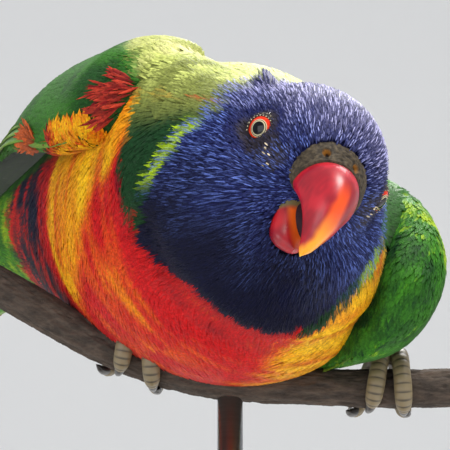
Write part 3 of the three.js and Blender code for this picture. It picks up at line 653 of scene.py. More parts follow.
def blade(along, shares, across):
    """A feather's pattern: a root point, rings of points across it and a tip point, as distance
    along, distance across and crown of each point, with the faces of the closed blade."""
    cross = np.linspace(-1, 1, across) * np.abs(np.linspace(-1, 1, across)) ** 0.3
    t = np.concatenate([[0], np.repeat(along, across), [1]])
    c = np.concatenate([[0], np.tile(cross, len(along)), [0]])
    width = np.concatenate([[0], np.repeat(shares, across), [0]])
    crown = np.concatenate([[0], np.tile(1 - cross ** 2, len(along)), [0]]) * width
    ring = [np.arange(across) + 1 + k * across for k in range(len(along))]
    tip = len(t) - 1
    faces = []
    for j in range(across):
        following = (j + 1) % across
        faces.append([0, ring[0][j], ring[0][following]])
        for a, b in zip(ring, ring[1:]):
            faces += [[a[j], b[j], b[following]], [a[j], b[following], a[following]]]
        faces.append([ring[-1][j], tip, ring[-1][following]])
    return t, c * width, crown, np.array(faces)


def tangent(ways, normals):
    """Directions laid into the surface."""
    flat = ways - normals * (ways * normals).sum(1, keepdims=True)
    return flat / np.maximum(np.linalg.norm(flat, axis=1, keepdims=True), 1e-9)


def turned_about(ways, normals, angle):
    """Directions in the surface turned about its normal."""
    return ways * np.cos(angle)[:, None] + np.cross(normals, ways) * np.sin(angle)[:, None]


def strewn(ways, normals, spread, seed):
    """Directions in the surface, each turned a little at random."""
    return turned_about(ways, normals, np.random.default_rng(seed).normal(0, spread, len(ways)))


PATCH = 0.003


def copies(name, pattern, points, colours, spots):
    """One mesh of a pattern's copies from all their points, with their tint and their small patches
    round their spots on the flattened skin."""
    t, c, _, faces = pattern
    faces = (np.arange(len(spots))[:, None, None] * len(t) + faces).reshape(-1, 3)
    piece = put(name, points.reshape(-1, 3), faces)
    patch = np.clip(spots[:, None] + PATCH * np.stack([c * 0.5, t - 0.5], 1)[None], 0.001, 0.999)
    coloured(piece, np.clip(colours, 0, 1).reshape(-1, 3), patch.reshape(-1, 2))
    return piece


def plumes(name, pattern, roots, normals, ways, size, lift, field, colour_of, seed, spots=unwrap):
    """Feathers on a surface: each copy of the pattern runs from its root along its way, wraps the
    surface, and rises from below the coat at its root to its lift at the tip. size is length, half
    width and thickness; lift is the height at root and tip. They are shaded like the coat's own
    surface, each a little rounded across."""
    rng = np.random.default_rng(seed)
    t, c, crown, faces = pattern
    count = len(roots)
    length, half, thick = (np.broadcast_to(value, count)[:, None] for value in size)
    length = length * rng.uniform(0.82, 1.18, (count, 1))
    low, high = (np.broadcast_to(value, count)[:, None] for value in lift)
    high = high + rng.uniform(-0.07, 0.07, (count, 1))
    tilt = rng.uniform(-0.1, 0.1, (count, 1))
    side = np.cross(normals, ways)
    flat = (roots[:, None, :3] + ways[:, None] * (length * t)[..., None]
            + side[:, None] * (half * c)[..., None])
    height = low + (high - low) * t ** 0.7 + thick * crown + tilt * half * c
    points, under = settled(flat.reshape(-1, 3), height.ravel(), field)
    middles = points.reshape(count, len(t), 3).mean(1)
    colours = colour_of(roots, middles, points, t, c, crown, rng)
    piece = copies(name, pattern, points, colours, spots(roots))
    under = under.reshape(count, len(t), 3)
    agree = smoothstep((under * normals[:, None]).sum(2, keepdims=True), 0.2, 0.7)
    upright = normals[:, None] * agree + under * (1 - agree)
    shade = upright + side[:, None] * (0.4 * c)[None, :, None] + ways[:, None] * 0.12
    shade = shade / np.linalg.norm(shade, axis=2, keepdims=True)
    below = (c[faces].min(1) < -0.01) & (c[faces].max(1) > 0.01)
    shade = shade[:, faces] * np.where(below, -1, 1)[:, None, None]
    piece.data.normals_split_custom_set(shade.reshape(-1, 3))
    return piece


body_field = field_of(flesh[0], flesh[1])


def lie_of_body(points, normals):
    """Which way the feathers lie: away from the beak on the head, towards the tail behind it, and
    more and more down round the breast, where they sweep from each shoulder to the belly."""
    s, turn, head = whereabouts(points)
    curve = -2 * BEND * np.maximum(BEND_FROM - s, 0)
    tailward = np.stack([-np.ones(len(s)), curve, 0 * s], 1) @ BODY[0].T
    away = (head - BEAK_ROOT) @ HEAD[0].T
    away /= np.maximum(np.linalg.norm(away, axis=1, keepdims=True), 1e-9)
    on_head = smoothstep(s, navy_edge(turn) - 9, navy_edge(turn) + 1)[:, None]
    sweep = np.where((turn > 60) & (turn < 154), -1, 1) * np.clip(np.abs(turn - 154) / 14, 0, 1)
    sweep = sweep * smoothstep(np.abs(turn), 88, 104) * smoothstep(s, -38, -18)
    tailward = turned_about(tangent(tailward, normals), normals, np.radians(62) * sweep)
    return tangent(tailward * (1 - on_head) + away * on_head, normals)


def beside_beak(head):
    """How far points in the head's axes stand from the beak's root: 1 on the edge of its cere or of
    its lower half, more outside."""
    upper = np.hypot((head[:, 1] - 0.2) / 6.9, (head[:, 2] + 1.4) / 5.5)
    lower = np.hypot((head[:, 1] + 0.4) / 4.8, (head[:, 2] + 12.6) / 4.9)
    return np.where(head[:, 0] > 3, np.minimum(upper, lower), 2)


def hood_share(points):
    """How closely the hood's feathers stand: none on beak, eyes and the rest of the body."""
    s, turn, head = whereabouts(points)
    clear = (from_eye(head) > 3.1) & (beside_beak(head) > 1)
    near = smoothstep(np.linalg.norm(head - np.array([10, 0, -5]), axis=1), 36, 16)
    return np.where(clear & (s > navy_edge(turn) - 2.5), 0.5 + 0.5 * near, 0)


def grown_at(roots, reach):
    """How far feathers have grown out: from 0 beside beak and eyes to 1 at this reach from both."""
    head = seen_from(roots, HEAD)
    return smoothstep(np.minimum((beside_beak(head) - 1) * 6, from_eye(head) - 3.5), 0, reach)


def down_colours(roots, middles, points, t, c, crown, rng):
    """The hood's own colours darkened as painted shade deep in the coat, each feather by a different amount
    and most at its root.
    """
    tone = rng.uniform(0.5, 0.8, (len(roots), 1, 1))
    return markings(middles)[:, None] * tone * (0.7 + 0.3 * t)[None, :, None]


ROUND = blade([0.25, 0.55, 0.85], [0.7, 1.0, 0.8], 5)
hood_finish = plumage_finish("hood feathers", 0.6, 0.02, 2600.0)
roots, normals = scattered(flesh, 1.2, hood_share, 20)
grown = grown_at(roots, 12)
piece = plumes("hood_down", ROUND, roots, normals, lie_of_body(roots, normals),
               (1.6 + 2.2 * grown, 0.6 + 0.7 * grown, 0.1), (-0.7, -0.25), body_field, down_colours, 30)
ride_as(piece, hood_finish, "hood_feathers")


# Coat of the head and hood: narrow pointed feathers with pale shafts. They start at the beak and
# run back over cheek and crown, each lying over the roots of the next.
def hood_zones(roots):
    """How high roots on the hood lie in the head's axes, and how far each belongs to the crown and
    to the rim of an eye, from 0 to 1."""
    head = seen_from(roots, HEAD)
    top = smoothstep(head[:, 2] + 2 * lumps(roots, 3.0, 24), -2, 9)
    return head[:, 2], top, smoothstep(from_eye(head), 7, 4.5)


def hood_colours(roots, middles, points, t, c, crown, rng):
    """Dark feathers with bright shafts, blue on the cheek: painted light gives more and brighter shafts the
    higher they lie, a lilac highlight on the crown and none on the throat; painted shade darkens each feather
    towards its root.
    """
    count = len(roots)
    level, top, bare = hood_zones(roots)
    lit = smoothstep(level + 4 * lumps(roots, 4.0, 25), -27, -9) * rng.uniform(0.1, 1.0, count) ** 2.6
    share = np.maximum(0.7 * lit, 0.3 * top) * (1 - 0.8 * bare)
    streak = ((crown * (0.3 + 0.7 * t))[None] * share[:, None])[..., None]
    tone = rng.uniform(0.7, 1.3, (count, 1, 1)) * (0.55 + 0.45 * t)[None, :, None]
    pale = mixed(SHAFT, LIT_LILAC, top)[:, None] * rng.uniform(0.8, 1.25, (count, 1, 1))
    return markings(middles)[:, None] * tone * (1 - streak) + pale * streak


LANCE = blade([0.3, 0.72], [0.85, 1.0], 3)
BATCH = 16000
roots, normals = scattered(flesh, 0.44, hood_share, 21)
ways = strewn(lie_of_body(roots, normals), normals, 0.1, 5)
grown = grown_at(roots, 15)
root_s, root_turn, _ = whereabouts(roots)
crest = np.exp(-((root_s - 35) / 1.4) ** 2 - ((root_turn + 60) / 3.5) ** 2)
for number, start in enumerate(range(0, len(roots), BATCH)):
    some = slice(start, start + BATCH)
    piece = plumes(f"hood_feathers_{number + 1}", LANCE, roots[some], normals[some], ways[some],
                   (1.3 + 4.6 * grown[some] + 1.5 * crest[some], 0.2 + 0.13 * grown[some], 0.1),
                   (-0.15 - 0.5 * grown[some], 0.12 + 0.2 * grown[some] + 2.6 * crest[some]),
                   body_field, hood_colours, 31 + number)
    ride_as(piece, hood_finish, "hood_feathers")


# Pale shafts of the hood: very thin feathers, set wider apart than the coat's, that stand a little
# off it and catch the light; their pale streaks are partly painted light, brighter higher on the head.
def shaft_colours(roots, middles, points, t, c, crown, rng):
    """Pale blue streaks on the cheek, brighter the higher each shaft lies as painted light, up to a painted
    lilac highlight on the crown; each a different brightness, fading to the throat.
    """
    level, top, bare = hood_zones(roots)
    lit = smoothstep(level + 4 * lumps(roots, 4.0, 25), -25, -7) * rng.uniform(0.05, 1.0, len(roots)) ** 1.3
    lit = (lit * (1 - 0.85 * bare))[:, None]
    pale = mixed(SHAFT, LIT_LILAC * 1.25, top)
    colour = markings(middles) * (1 - lit) + pale * lit
    return colour[:, None] * (0.5 + 0.5 * np.sin(t * 3.0))[None, :, None]


roots, normals = scattered(flesh, 0.86, hood_share, 31)
grown = grown_at(roots, 14)
ways = strewn(lie_of_body(roots, normals), normals, 0.12, 32)
piece = plumes("hood_shafts", LANCE, roots, normals, ways, (0.9 + 3.2 * grown, 0.09 + 0.05 * grown, 0.08),
               (0.02, 0.5), body_field, shaft_colours, 33)
ride_as(piece, hood_finish, "hood_feathers")


# Bristles: a few short cream feathers in a line that falls from the front of each eye, over the
# dark patch between eye and beak.
BRISTLES = np.array([[4.8, 10.6, -2.8], [5.2, 9.9, -4], [5.6, 9.1, -5.2], [5.4, 9.2, -6]])


def bristle_share(points):
    """How closely pale bristles stand: along a line that falls from the front of each eye."""
    head = seen_from(points, HEAD)
    head[:, 1] = np.abs(head[:, 1])
    gap = np.linalg.norm(head[:, None] - BRISTLES[None], axis=2).min(1)
    return 0.4 * smoothstep(gap, 1.3, 0.6)


def bristle_colours(roots, middles, points, t, c, crown, rng):
    """Cream, each a different tone."""
    tone = rng.uniform(0.1, 1.1, (len(roots), 1, 1)) + 0 * t[None, :, None]
    return hue("#dccbae") * tone


roots, normals = scattered(flesh, 0.55, bristle_share, 27)
piece = plumes("lore_bristles", LANCE, roots, normals, lie_of_body(roots, normals), (0.7, 0.13, 0.12),
               (0.25, 0.55), body_field, bristle_colours, 28)
ride_as(piece, hood_finish, "hood_feathers")


# Coat of the body: broad rounded feathers, evenly spread from the collar to the tail, under a fine
# fringe of loose barbs. Both take the colours that the plumage has at their places.
def body_share(points):
    """How closely the body's feathers stand: everywhere but on the hood."""
    s, turn, _ = whereabouts(points)
    return np.where(s < navy_edge(turn) + 1.0, 1.0, 0)


def body_colours(roots, middles, points, t, c, crown, rng):
    """The colours below, in feathers of slightly different tone, each darker at its root as painted shade
    under the feathers over it.
    """
    count = len(roots)
    base = markings(np.repeat(middles, len(t), axis=0), points).reshape(count, len(t), 3)
    tone = rng.uniform(0.9, 1.08, (count, 1, 1)) * (0.66 + 0.36 * t)[None, :, None]
    return base * tone


roots, normals = scattered(flesh, 2.1, body_share, 22)
ways = strewn(lie_of_body(roots, normals), normals, 0.1, 6)
body_finish = plumage_finish("body feathers", 0.6, 0.03, 1800.0)
piece = plumes("body_feathers", ROUND, roots, normals, ways, (8.0, 2.6, 0.2), (-1.1, 0.12),
               body_field, body_colours, 41)
ride_as(piece, body_finish, "skin_feathers")
roots, normals = scattered(flesh, 0.78, body_share, 23)
ways = strewn(lie_of_body(roots, normals), normals, 0.09, 7)
for number, start in enumerate(range(0, len(roots), BATCH)):
    some = slice(start, start + BATCH)
    piece = plumes(f"body_barbs_{number + 1}", LANCE, roots[some], normals[some], ways[some],
                   (6.0, 0.34, 0.08), (-0.5, 0.32), body_field, body_colours, 51 + number)
    ride_as(piece, body_finish, "skin_feathers")


# Wings: closed over the back, each an arm under small coverts, then two rows of larger coverts and
# the long flight feathers. Every large feather follows a shaft line that runs back from the wrist.
BED_ROWS = np.array([
    [-140, -17, 11, 10, 40], [-110, -12, 12.5, 11, 40], [-80, -6, 16, 14, 42], [-45, -1, 24, 21, 52],
    [-20, 0, 31, 27.5, 64], [5, -1, 33.6, 30, 76], [25, -2, 32.5, 28, 82], [40, -3, 27, 24, 84],
])
WRIST = {"left": 31, "right": 14}
WING_LIFT = {"left": 0, "right": 5.5}
WING_DROP = {"left": 1.35, "right": 1}
ARM_ROWS = np.array([
    [-4, -2, 2, 1.5, 3], [-1, -9, 9, 4.5, 8], [7, -15, 15, 6, 10], [18, -17.5, 19, 4.6, 8],
    [34, -17.5, 19.5, 3.2, 3], [50, -15.5, 17, 2.2, 0], [62, -9, 8, 0.9, 0],
])
HELD_OUT_AT = 34
HELD_OUT_OVER = 26
EDGE_ROWS = np.array([[0, -17], [28, -18], [52, -17], [78, -13], [104, -8.5], [130, -5.5], [148, -2]])


def softened(rows, column, x, reach=5):
    """The rows' column read between rows at x, averaged over a short reach to round its corners."""
    return sum(np.interp(x + reach * k / 2, rows[:, 0], rows[:, column]) for k in (-2, -1, 0, 1, 2)) / 5


def wing_point(name, x, y, z):
    """A point of a wing: x back from the wrist, y up across it and z out from the oval bed on
    which it lies. The right wing is held a little away from the body behind its wrist."""
    s = WRIST[name] - x
    centre, wide, tall, middle = (softened(BED_ROWS, k, s) for k in (1, 2, 3, 4))
    angle = np.radians(middle) - y / ((wide + tall) / 2)
    out = z + WING_LIFT[name] * np.exp(-(((x - HELD_OUT_AT) / HELD_OUT_OVER) ** 2))
    across = SIDES[name] * (wide + out) * np.sin(angle) + bend(s)
    return placed(np.stack([s, across, centre + (tall + out) * np.cos(angle)], -1), BODY)


def arm_height(name, x, y):
    """The height of the arm's rounded top over the bed."""
    low = softened(ARM_ROWS, 1, x, 2) * WING_DROP[name]
    high, thick = softened(ARM_ROWS, 2, x, 2), softened(ARM_ROWS, 3, x, 2)
    across = (2 * y - low - high) / (high - low)
    return 0.4 + (thick - 0.4) * np.sqrt(np.clip(1 - across ** 2, 0, 1))


def shaft_line(name, k, x):
    """How far up the wing the line with the number k lies, 0 at the lower edge and 10 at the upper."""
    step = (19 + 17.5 * WING_DROP[name] - 5.5) / 10
    return softened(EDGE_ROWS, 1, x) * WING_DROP[name] + 3 + k * step


def feather_piece(name, pattern, points, colours, length, half, spots):
    """Copies of a pattern at points, with the run of their barbs along and across each."""
    t, c, _, _ = pattern
    piece = copies(name, pattern, points, colours, spots)
    across = half[:, None] * c[None]
    shift = np.broadcast_to(np.arange(len(points))[:, None] * 7.7, across.shape)
    barbs = np.stack([length[:, None] * t[None] - 0.9 * np.abs(across), across, shift], -1)
    run = piece.data.attributes.new("barb", "FLOAT_VECTOR", "POINT")
    run.data.foreach_set("vector", barbs.ravel())
    return piece


def vane_finish(name, roughness, sheen):
    """Firm feathers: the painted tint, streaked along their barbs, with a fine relief."""
    return textured(name, roughness, {"Scale": 1.0, "Detail": 4.0, "Roughness": 0.7},
                    [(0.25, (0.5,) * 3), (0.75, (1.35,) * 3)], (0.4, 0.0002), (2.6, 0.35, 1.0), "barb",
                    True, {"Sheen Weight": sheen, "Sheen Roughness": 0.35})


def wing_feathers(title, name, pattern, k, root, tip, half, level, slant, colour_of, seed):
    """One row of feathers of a wing, each from its root to its tip along its own shaft line: it
    leaves the arm, rises to the row's level and lies over the edge of the one below it."""
    rng = np.random.default_rng(seed)
    t, c, crown, _ = pattern
    length = (tip - root) * rng.uniform(0.97, 1.03, len(k))
    x = root[:, None] + length[:, None] * t[None]
    across = half[:, None] * c[None]
    y = shaft_line(name, k[:, None], x) + across
    deep = 0.55 * arm_height(name, root, shaft_line(name, k, root))[:, None]
    out = deep + (level - deep) * np.clip(length[:, None] * t / 9, 0, 1)
    points = wing_point(name, x, y, out - slant * across + 0.32 * crown[None])
    spots = np.stack([0.05 + 0.9 * (k / 10), 0.05 + 0.9 * np.clip(root / 60, 0, 1)], 1)
    return feather_piece(title, pattern, points, colour_of(k, t, c, crown, rng), length, half, spots)


def wing_green(k, t, c, crown, rng):
    """Green vanes: darker towards the inner edge and the tip, with a yellow-green outer edge."""
    count = len(k)
    tone = rng.uniform(0.75, 1.2, (count, 1, 1))
    outer = smoothstep(c, -0.35, -0.95)[None, :, None]
    inner = smoothstep(c, 0.2, 0.9)[None, :, None]
    colour = GREEN * tone * (1 - 0.25 * t[None, :, None])
    colour = colour + (LIME * 0.9 - colour) * 0.55 * outer
    return colour + (DARK_GREEN * 0.6 - colour) * 0.75 * inner


PLUME = blade(np.array([0.06, 0.14, 0.24, 0.36, 0.48, 0.6, 0.7, 0.79, 0.87, 0.93, 0.97]),
              np.array([0.5, 0.66, 0.8, 0.92, 0.98, 1, 0.97, 0.88, 0.7, 0.48, 0.28]), 9)
SCALE_FORM = blade(np.array([0.15, 0.35, 0.55, 0.72, 0.86, 0.95]),
                   np.array([0.6, 0.85, 1, 0.97, 0.76, 0.45]), 7)
wing_finish = vane_finish("wing feathers", 0.5, 0.15)
TIERS = [
    ("flights", PLUME, 21, (3.9, 4.3), 1.3, [36, 34, 16], [148, 131, 109, 94, 78, 66, 53]),
    ("greater_coverts", PLUME, 19, (3.0, 3.2), 1.3, [22, 20, 12], [56, 53, 50, 38]),
    ("median_coverts", SCALE_FORM, 15, (2.9, 2.9), 0.7, [8, 5, 7], [30, 31, 29, 24]),
]
MANTLE_REACH = {
    "left": ([-2, 4, 12, 34, 60], [0, 2, 5, 3, 0]),
    "right": ([-4, -1, 7, 20, 40], [10, 8, 3.5, 1, 0]),
}
ARM_FRONT = -4.4
ARM_REAR = 62
ARM_RINGS = 110
ARM_SIDES = 120


def arm_form(name):
    """The arm as a closed form, round above and deep below near its front, with the place along and
    up the wing and the height of each point: points, normals and faces."""
    x = np.interp(np.linspace(0, 1, ARM_RINGS), [0, 0.35, 1], [ARM_FRONT, 6, ARM_REAR])[:, None]
    low = softened(ARM_ROWS, 1, x, 1.5) * WING_DROP[name]
    high = softened(ARM_ROWS, 2, x, 1.5) + np.interp(x, *MANTLE_REACH[name])
    above, below = softened(ARM_ROWS, 3, x, 1.5), softened(ARM_ROWS, 4, x, 1.5)
    round_front = np.sqrt(np.clip((x - ARM_FRONT) / 2.5, 0, 1))
    turn = np.arange(ARM_SIDES)[None] / ARM_SIDES * 2 * np.pi
    y = (low + high) / 2 - round_front * (high - low) / 2 * np.cos(turn)
    z = round_front * np.where(np.sin(turn) > 0, above, below) * np.sin(turn)
    x = np.broadcast_to(x, y.shape)
    grid = wing_point(name, x, y, z)
    if name == "left":
        grid, x, y, z = (part[:, ::-1] for part in (grid, x, y, z))
    along, round_it = np.gradient(grid, axis=0), np.roll(grid, -1, 1) - np.roll(grid, 1, 1)
    normal = np.cross(round_it, along)
    normal /= np.maximum(np.linalg.norm(normal, axis=2, keepdims=True), 1e-9)
    faces = grid_faces(ARM_RINGS, ARM_SIDES, True)
    faces = np.concatenate([faces[:, [0, 1, 2]], faces[:, [0, 2, 3]]])
    grid = np.concatenate([grid, np.stack([x, y, z], -1)], 2)
    return grid.reshape(-1, 6), normal.reshape(-1, 3), faces


def arm_share(roots):
    """The small coverts cover the front of the arm and leave its rear to the larger ones."""
    ends = 44 + 3 * np.sign(roots[:, 5])
    return np.where(roots[:, 3] < ends, 0.5 + 0.5 * smoothstep(roots[:, 3], 16, 0), 0)


FRONT_LIE = {"left": ([2, 12, 2], [4, -12, 1]), "right": ([0, 2, 3], [14, -3, 3])}


def arm_lie(name, roots, normals):
    """Back along the wing, and at its front one way for all, from one place on the wing to another."""
    x, y, z = roots[:, 3], roots[:, 4], roots[:, 5]
    back = wing_point(name, x + 0.5, y, z) - wing_point(name, x, y, z)
    first, second = (wing_point(name, *np.array(place, float)[:, None]) for place in FRONT_LIE[name])
    front = smoothstep(x, 18, 4)[:, None] * (0.9 if name == "left" else 0.8)
    return tangent(tangent(back, normals) * (1 - front) + tangent(second - first, normals) * front, normals)


def left_covert_colours(roots, middles, points, t, c, crown, rng):
    """Dark green beside the body, with streaks of yellow-green along the outer rim; each feather darker at
    its root as painted shade under the ones over it.
    """
    x, y, z = roots[:, 3], roots[:, 4], roots[:, 5]
    streaks = lumps(np.stack([x, y * 0.12, z], 1), 1.5, 74)
    streaks = streaks + 0.5 * lumps(np.stack([x, y * 0.2, z], 1), 0.8, 76)
    rim = smoothstep(z, -6, 2) * 0.3 + smoothstep(y, 2, 14) * smoothstep(z, -8, 0) * 0.35
    share = np.clip(0.2 + rim + 0.36 * streaks + rng.uniform(-0.08, 0.08, len(x)), 0, 1)
    base = ramp(share, [DARK_GREEN, DARK_GREEN * 0.5 + GREEN * 0.5, GREEN, LIME])[:, None]
    return base * (0.7 + 0.32 * t)[None, :, None]


def right_covert_colours(roots, middles, points, t, c, crown, rng):
    """Green with painted shade low on the front edge and a painted grey sheen of the sky on top; pale cream,
    painted by sunlight, where the soft feathers of the back lie over it; each feather darker at its root as
    painted shade.
    """
    x, y, z = roots[:, 3], roots[:, 4], roots[:, 5]
    patch = lumps(np.stack([x, y * 0.6, z], 1), 3.0, 75)
    share = np.clip(0.5 + 0.35 * patch + rng.uniform(-0.1, 0.1, len(x)), 0, 1)
    base = ramp(share, [DARK_GREEN, GREEN * 0.8, GREEN])
    # Painted shade: darker low on the wing's front, where the shoulder lies in shade.
    dark = smoothstep(y + patch, 3, -2) * smoothstep(x, 9, 3)
    base = mixed(base, DARK_GREEN, 0.8 * dark)
    # Painted grey sheen: a highlight of the sky along the wing's top.
    sheen = smoothstep(y - 0.2 * x + 3 * patch, 2, 8) * smoothstep(x, -2, 6)
    base = mixed(base, hue("#6d7c66"), 0.6 * sheen)
    # The back's soft feathers over the wing: their yellow-green painted pale cream by sunlight.
    soft = ramp(np.clip(0.55 + 0.5 * patch, 0, 1), [OLIVE, LIME * 0.4 + SUNLIT_CREAM * 0.5, SUNLIT_CREAM])
    base = mixed(base, soft, smoothstep(y - 0.65 * (x + 4) + 2 * patch, 0.5, 4.5))[:, None]
    return base * (0.7 + 0.32 * t)[None, :, None] * rng.uniform(0.88, 1.12, (len(x), 1, 1))


def arm_spots(roots):
    """Where a root of the wing's arm lies on its own flattened form."""
    up = 0.25 + 0.012 * roots[:, 4] + 0.45 * (roots[:, 5] > 0)
    return np.stack([0.05 + 0.9 * (roots[:, 3] + 5) / 68, up], 1)


for name in ("left", "right"):
    form = arm_form(name)
    arm_field = field_of(form[0][:, :3], form[1])
    arm = put(f"{name}_arm", form[0][:, :3] - 0.25 * form[1], grid_faces(ARM_RINGS, ARM_SIDES, True))
    covert_colours = left_covert_colours if name == "left" else right_covert_colours
    even = covert_colours(form[0], None, None, np.ones(1), None, None, np.random.default_rng(70))[:, 0]
    # The arm takes its coverts' colours at 0.7 of their brightness, as painted shade under them.
    coloured(arm, 0.7 * even, arm_spots(form[0]))
    ride_as(arm, plumage_finish(f"{name} arm", 0.9, 0.05, 900.0), "wing_feathers", f"wing_{name}")
    for row, (title, pattern, count, half, level, root, tip) in enumerate(TIERS):
        k = np.linspace(0, 10, count)
        root_at, tip_at = (through(np.array(part)[:, None], k / 10)[:, 0] for part in (root, tip))
        wide = half[0] + k / 10 * (half[1] - half[0])
        piece = wing_feathers(f"{name}_{title}", name, pattern, k, root_at, tip_at, wide, level, 0.34,
                              wing_green, 61 + row)
        ride_as(piece, wing_finish, "wing_feathers")
    roots, normals = scattered(form, 0.62, arm_share, 72)
    ways = strewn(arm_lie(name, roots, normals), normals, 0.12, 73)
    wide = 0.62 + 0.5 * smoothstep(roots[:, 3], 0, 28)
    piece = plumes(f"{name}_small_coverts", LANCE, roots, normals, ways, (6.0 * wide, 0.62 * wide, 0.1),
                   (-0.4, 0.22), arm_field, covert_colours, 74, arm_spots)
    ride_as(piece, plumage_finish(f"{name} small coverts", 0.55, 0.03, 2000.0), "wing_feathers")
right_form, right_field = form, arm_field


# Flank: a narrow band of fine gold feathers on the lower edge of the right wing's front, which
# carries the gold side of the breast on over the wing.
def flank_share(points):
    """How closely the flank's feathers stand: along the lower edge of the right wing's front."""
    x, y, z = points[:, 3], points[:, 4], points[:, 5]
    edge = np.interp(x, [-4, 0, 4, 8, 12, 20], [-9, -10.5, -12.5, -13.6, -14.4, -16])
    edge = edge + 0.5 * lumps(points[:, :3], 1.5, 84)
    return np.where(z > -9, smoothstep(y, edge, edge - 1.0) * smoothstep(x, 19, 15), 0)


def flank_colours(roots, middles, points, t, c, crown, rng):
    """Gold with streaks of orange, like the side of the breast below, each feather darker at its root as
    painted shade.
    """
    share = 0.74 + 0.4 * lumps(np.stack([roots[:, 3], 0.2 * roots[:, 4], roots[:, 5]], 1), 1.0, 85)
    share = share + rng.uniform(-0.12, 0.12, len(roots)) - 0.7 * smoothstep(roots[:, 3], 14, 18)
    base = ramp(np.clip(share, 0, 1), [CRIMSON, ORANGE, GOLD, YELLOW])
    return base[:, None] * (0.66 + 0.36 * t)[None, :, None]


roots, normals = scattered(right_form, 0.6, flank_share, 86)
low, high, beyond = (wing_point("right", *np.array(place, float)[:, None])
                     for place in ([4, -16, 3], [3, -7, 3], [4, -16, 10]))
ways = tangent(np.broadcast_to(high + beyond - 2 * low, normals.shape), normals)
piece = plumes("right_flank", LANCE, roots, normals, strewn(ways, normals, 0.22, 87), (4.6, 0.36, 0.1),
               (0.15, 0.5), right_field, flank_colours, 88, arm_spots)
ride_as(piece, body_finish, "skin_feathers")


# Scarlet tufts: narrow feathers of many lengths that stand up from the right wing's front edge, with
# one small orange tuft at its rear.
TUFTS = np.array([[-2.6, -2, 1.1], [-1.2, -5.5, 1.3], [-1, -9, 1.3], [25, -16.5, 1.8]])


def tuft_share(roots):
    """How closely the tufts' feathers stand: in four round patches on the right wing's face."""
    gap = np.linalg.norm(roots[:, None, 3:5] - TUFTS[None, :, :2], axis=2) / TUFTS[:, 2]
    return np.where(roots[:, 5] > 0, smoothstep(gap.min(1), 1.1, 0.8), 0)


def tuft_colours(roots, middles, points, t, c, crown, rng):
    """Scarlet, darker at the roots as painted shade under the feathers over them, and orange in the tuft at
    the rear.
    """
    rear = smoothstep(roots[:, 3], 20, 24)
    scarlet = mixed(hue("#7c0a10"), hue("#c8402a"), rng.uniform(0, 1, len(roots)))
    base = mixed(scarlet, hue("#c85a20"), rear)
    tone = rng.uniform(0.6, 1.1, (len(roots), 1, 1))
    return base[:, None] * (0.5 + 0.5 * t)[None, :, None] * tone


roots, normals = scattered(right_form, 0.55, tuft_share, 77)
ways = strewn(arm_lie("right", roots, normals), normals, 0.3, 78)
reach = np.random.default_rng(80).uniform(3.6, 7.2, len(roots))
piece = plumes("right_red_tufts", LANCE, roots, normals, ways, (reach, 0.26, 0.12), (0.1, 0.9),
               right_field, tuft_colours, 79, arm_spots)
ride_as(piece, plumage_finish("scarlet tufts", 0.55, 0.03, 2000.0), "wing_feathers")


# Scapulars: soft feathers of the back that lie over the front and the inner edge of each wing.
def mantle_share(name, points):
    """How closely they stand: only beside the inner front of the wing."""
    s, turn, _ = whereabouts(points)
    turn = turn * SIDES[name]
    share = smoothstep(s, 4, 8) * smoothstep(s, 36, 31)
    return share * smoothstep(turn, 22, 30) * smoothstep(turn, 84, 76)


def mantle_colours(roots, middles, points, t, c, crown, rng):
    """The colours of the back below, each feather darker at its root as painted shade under the ones over it.
    """
    tone = rng.uniform(0.85, 1.15, (len(roots), 1, 1)) * (0.6 + 0.5 * t)[None, :, None]
    return markings(middles)[:, None] * tone


for name, side in SIDES.items():
    form = arm_form(name)
    both = field_of(np.concatenate([flesh[0], form[0][:, :3]]), np.concatenate([flesh[1], form[1]]))
    roots, normals = scattered(flesh, 0.82, lambda points: mantle_share(name, points), 82)
    outward = BODY[0][:, 1] * side - 0.7 * BODY[0][:, 0]
    ways = strewn(tangent(np.broadcast_to(outward, roots.shape), normals), normals, 0.12, 83)
    piece = plumes(f"{name}_scapulars", LANCE, roots, normals, ways, (6.8, 0.6, 0.1), (-0.5, 0.25), both,
                   mantle_colours, 84)
    ride_as(piece, body_finish, "wing_feathers")


# Tail: twelve long green feathers in pairs, the middle pair on top and the others spread under it,
# with short coverts over and under their roots.
TAIL_LENGTH = 128
TAIL_HALF = 6.4


def turned_axes(angle, first, second):
    """Columns of axes in which the first turns towards the second by an angle."""
    axes = np.eye(3)
    axes[[first, second], [first, second]] = np.cos(angle)
    axes[second, first] = np.sin(angle)
    axes[first, second] = -np.sin(angle)
    return axes


TAIL_DROOP = 26
swing = turned_axes(np.arctan(2 * BEND * (BEND_FROM - RUMP) * TAIL_STRAIGHTENS), 0, 1)
dip = turned_axes(np.radians(TAIL_DROOP), 0, 2)
TAIL = (BODY[0] @ swing @ dip, placed(np.array([-62, bend(-62), -1]), BODY))
tail_finish = vane_finish("tail feathers", 0.5, 0.12)


def tail_green(k, t, c, crown, rng):
    """Green towards the tip, yellow-green along the outer edge, with a red patch at the inner root."""
    count = len(k)
    tone = rng.uniform(0.8, 1.15, (count, 1, 1))
    colour = GREEN * tone * np.ones((1, len(t), 1))
    edge = smoothstep(np.abs(c), 0.55, 1.0)[None, :, None]
    colour = colour + (LIME - colour) * 0.45 * edge
    rooted = (smoothstep(t, 0.55, 0.2) * smoothstep(np.abs(c), 0.1, 0.6))[None, :, None]
    return colour + (RED - colour) * 0.5 * rooted


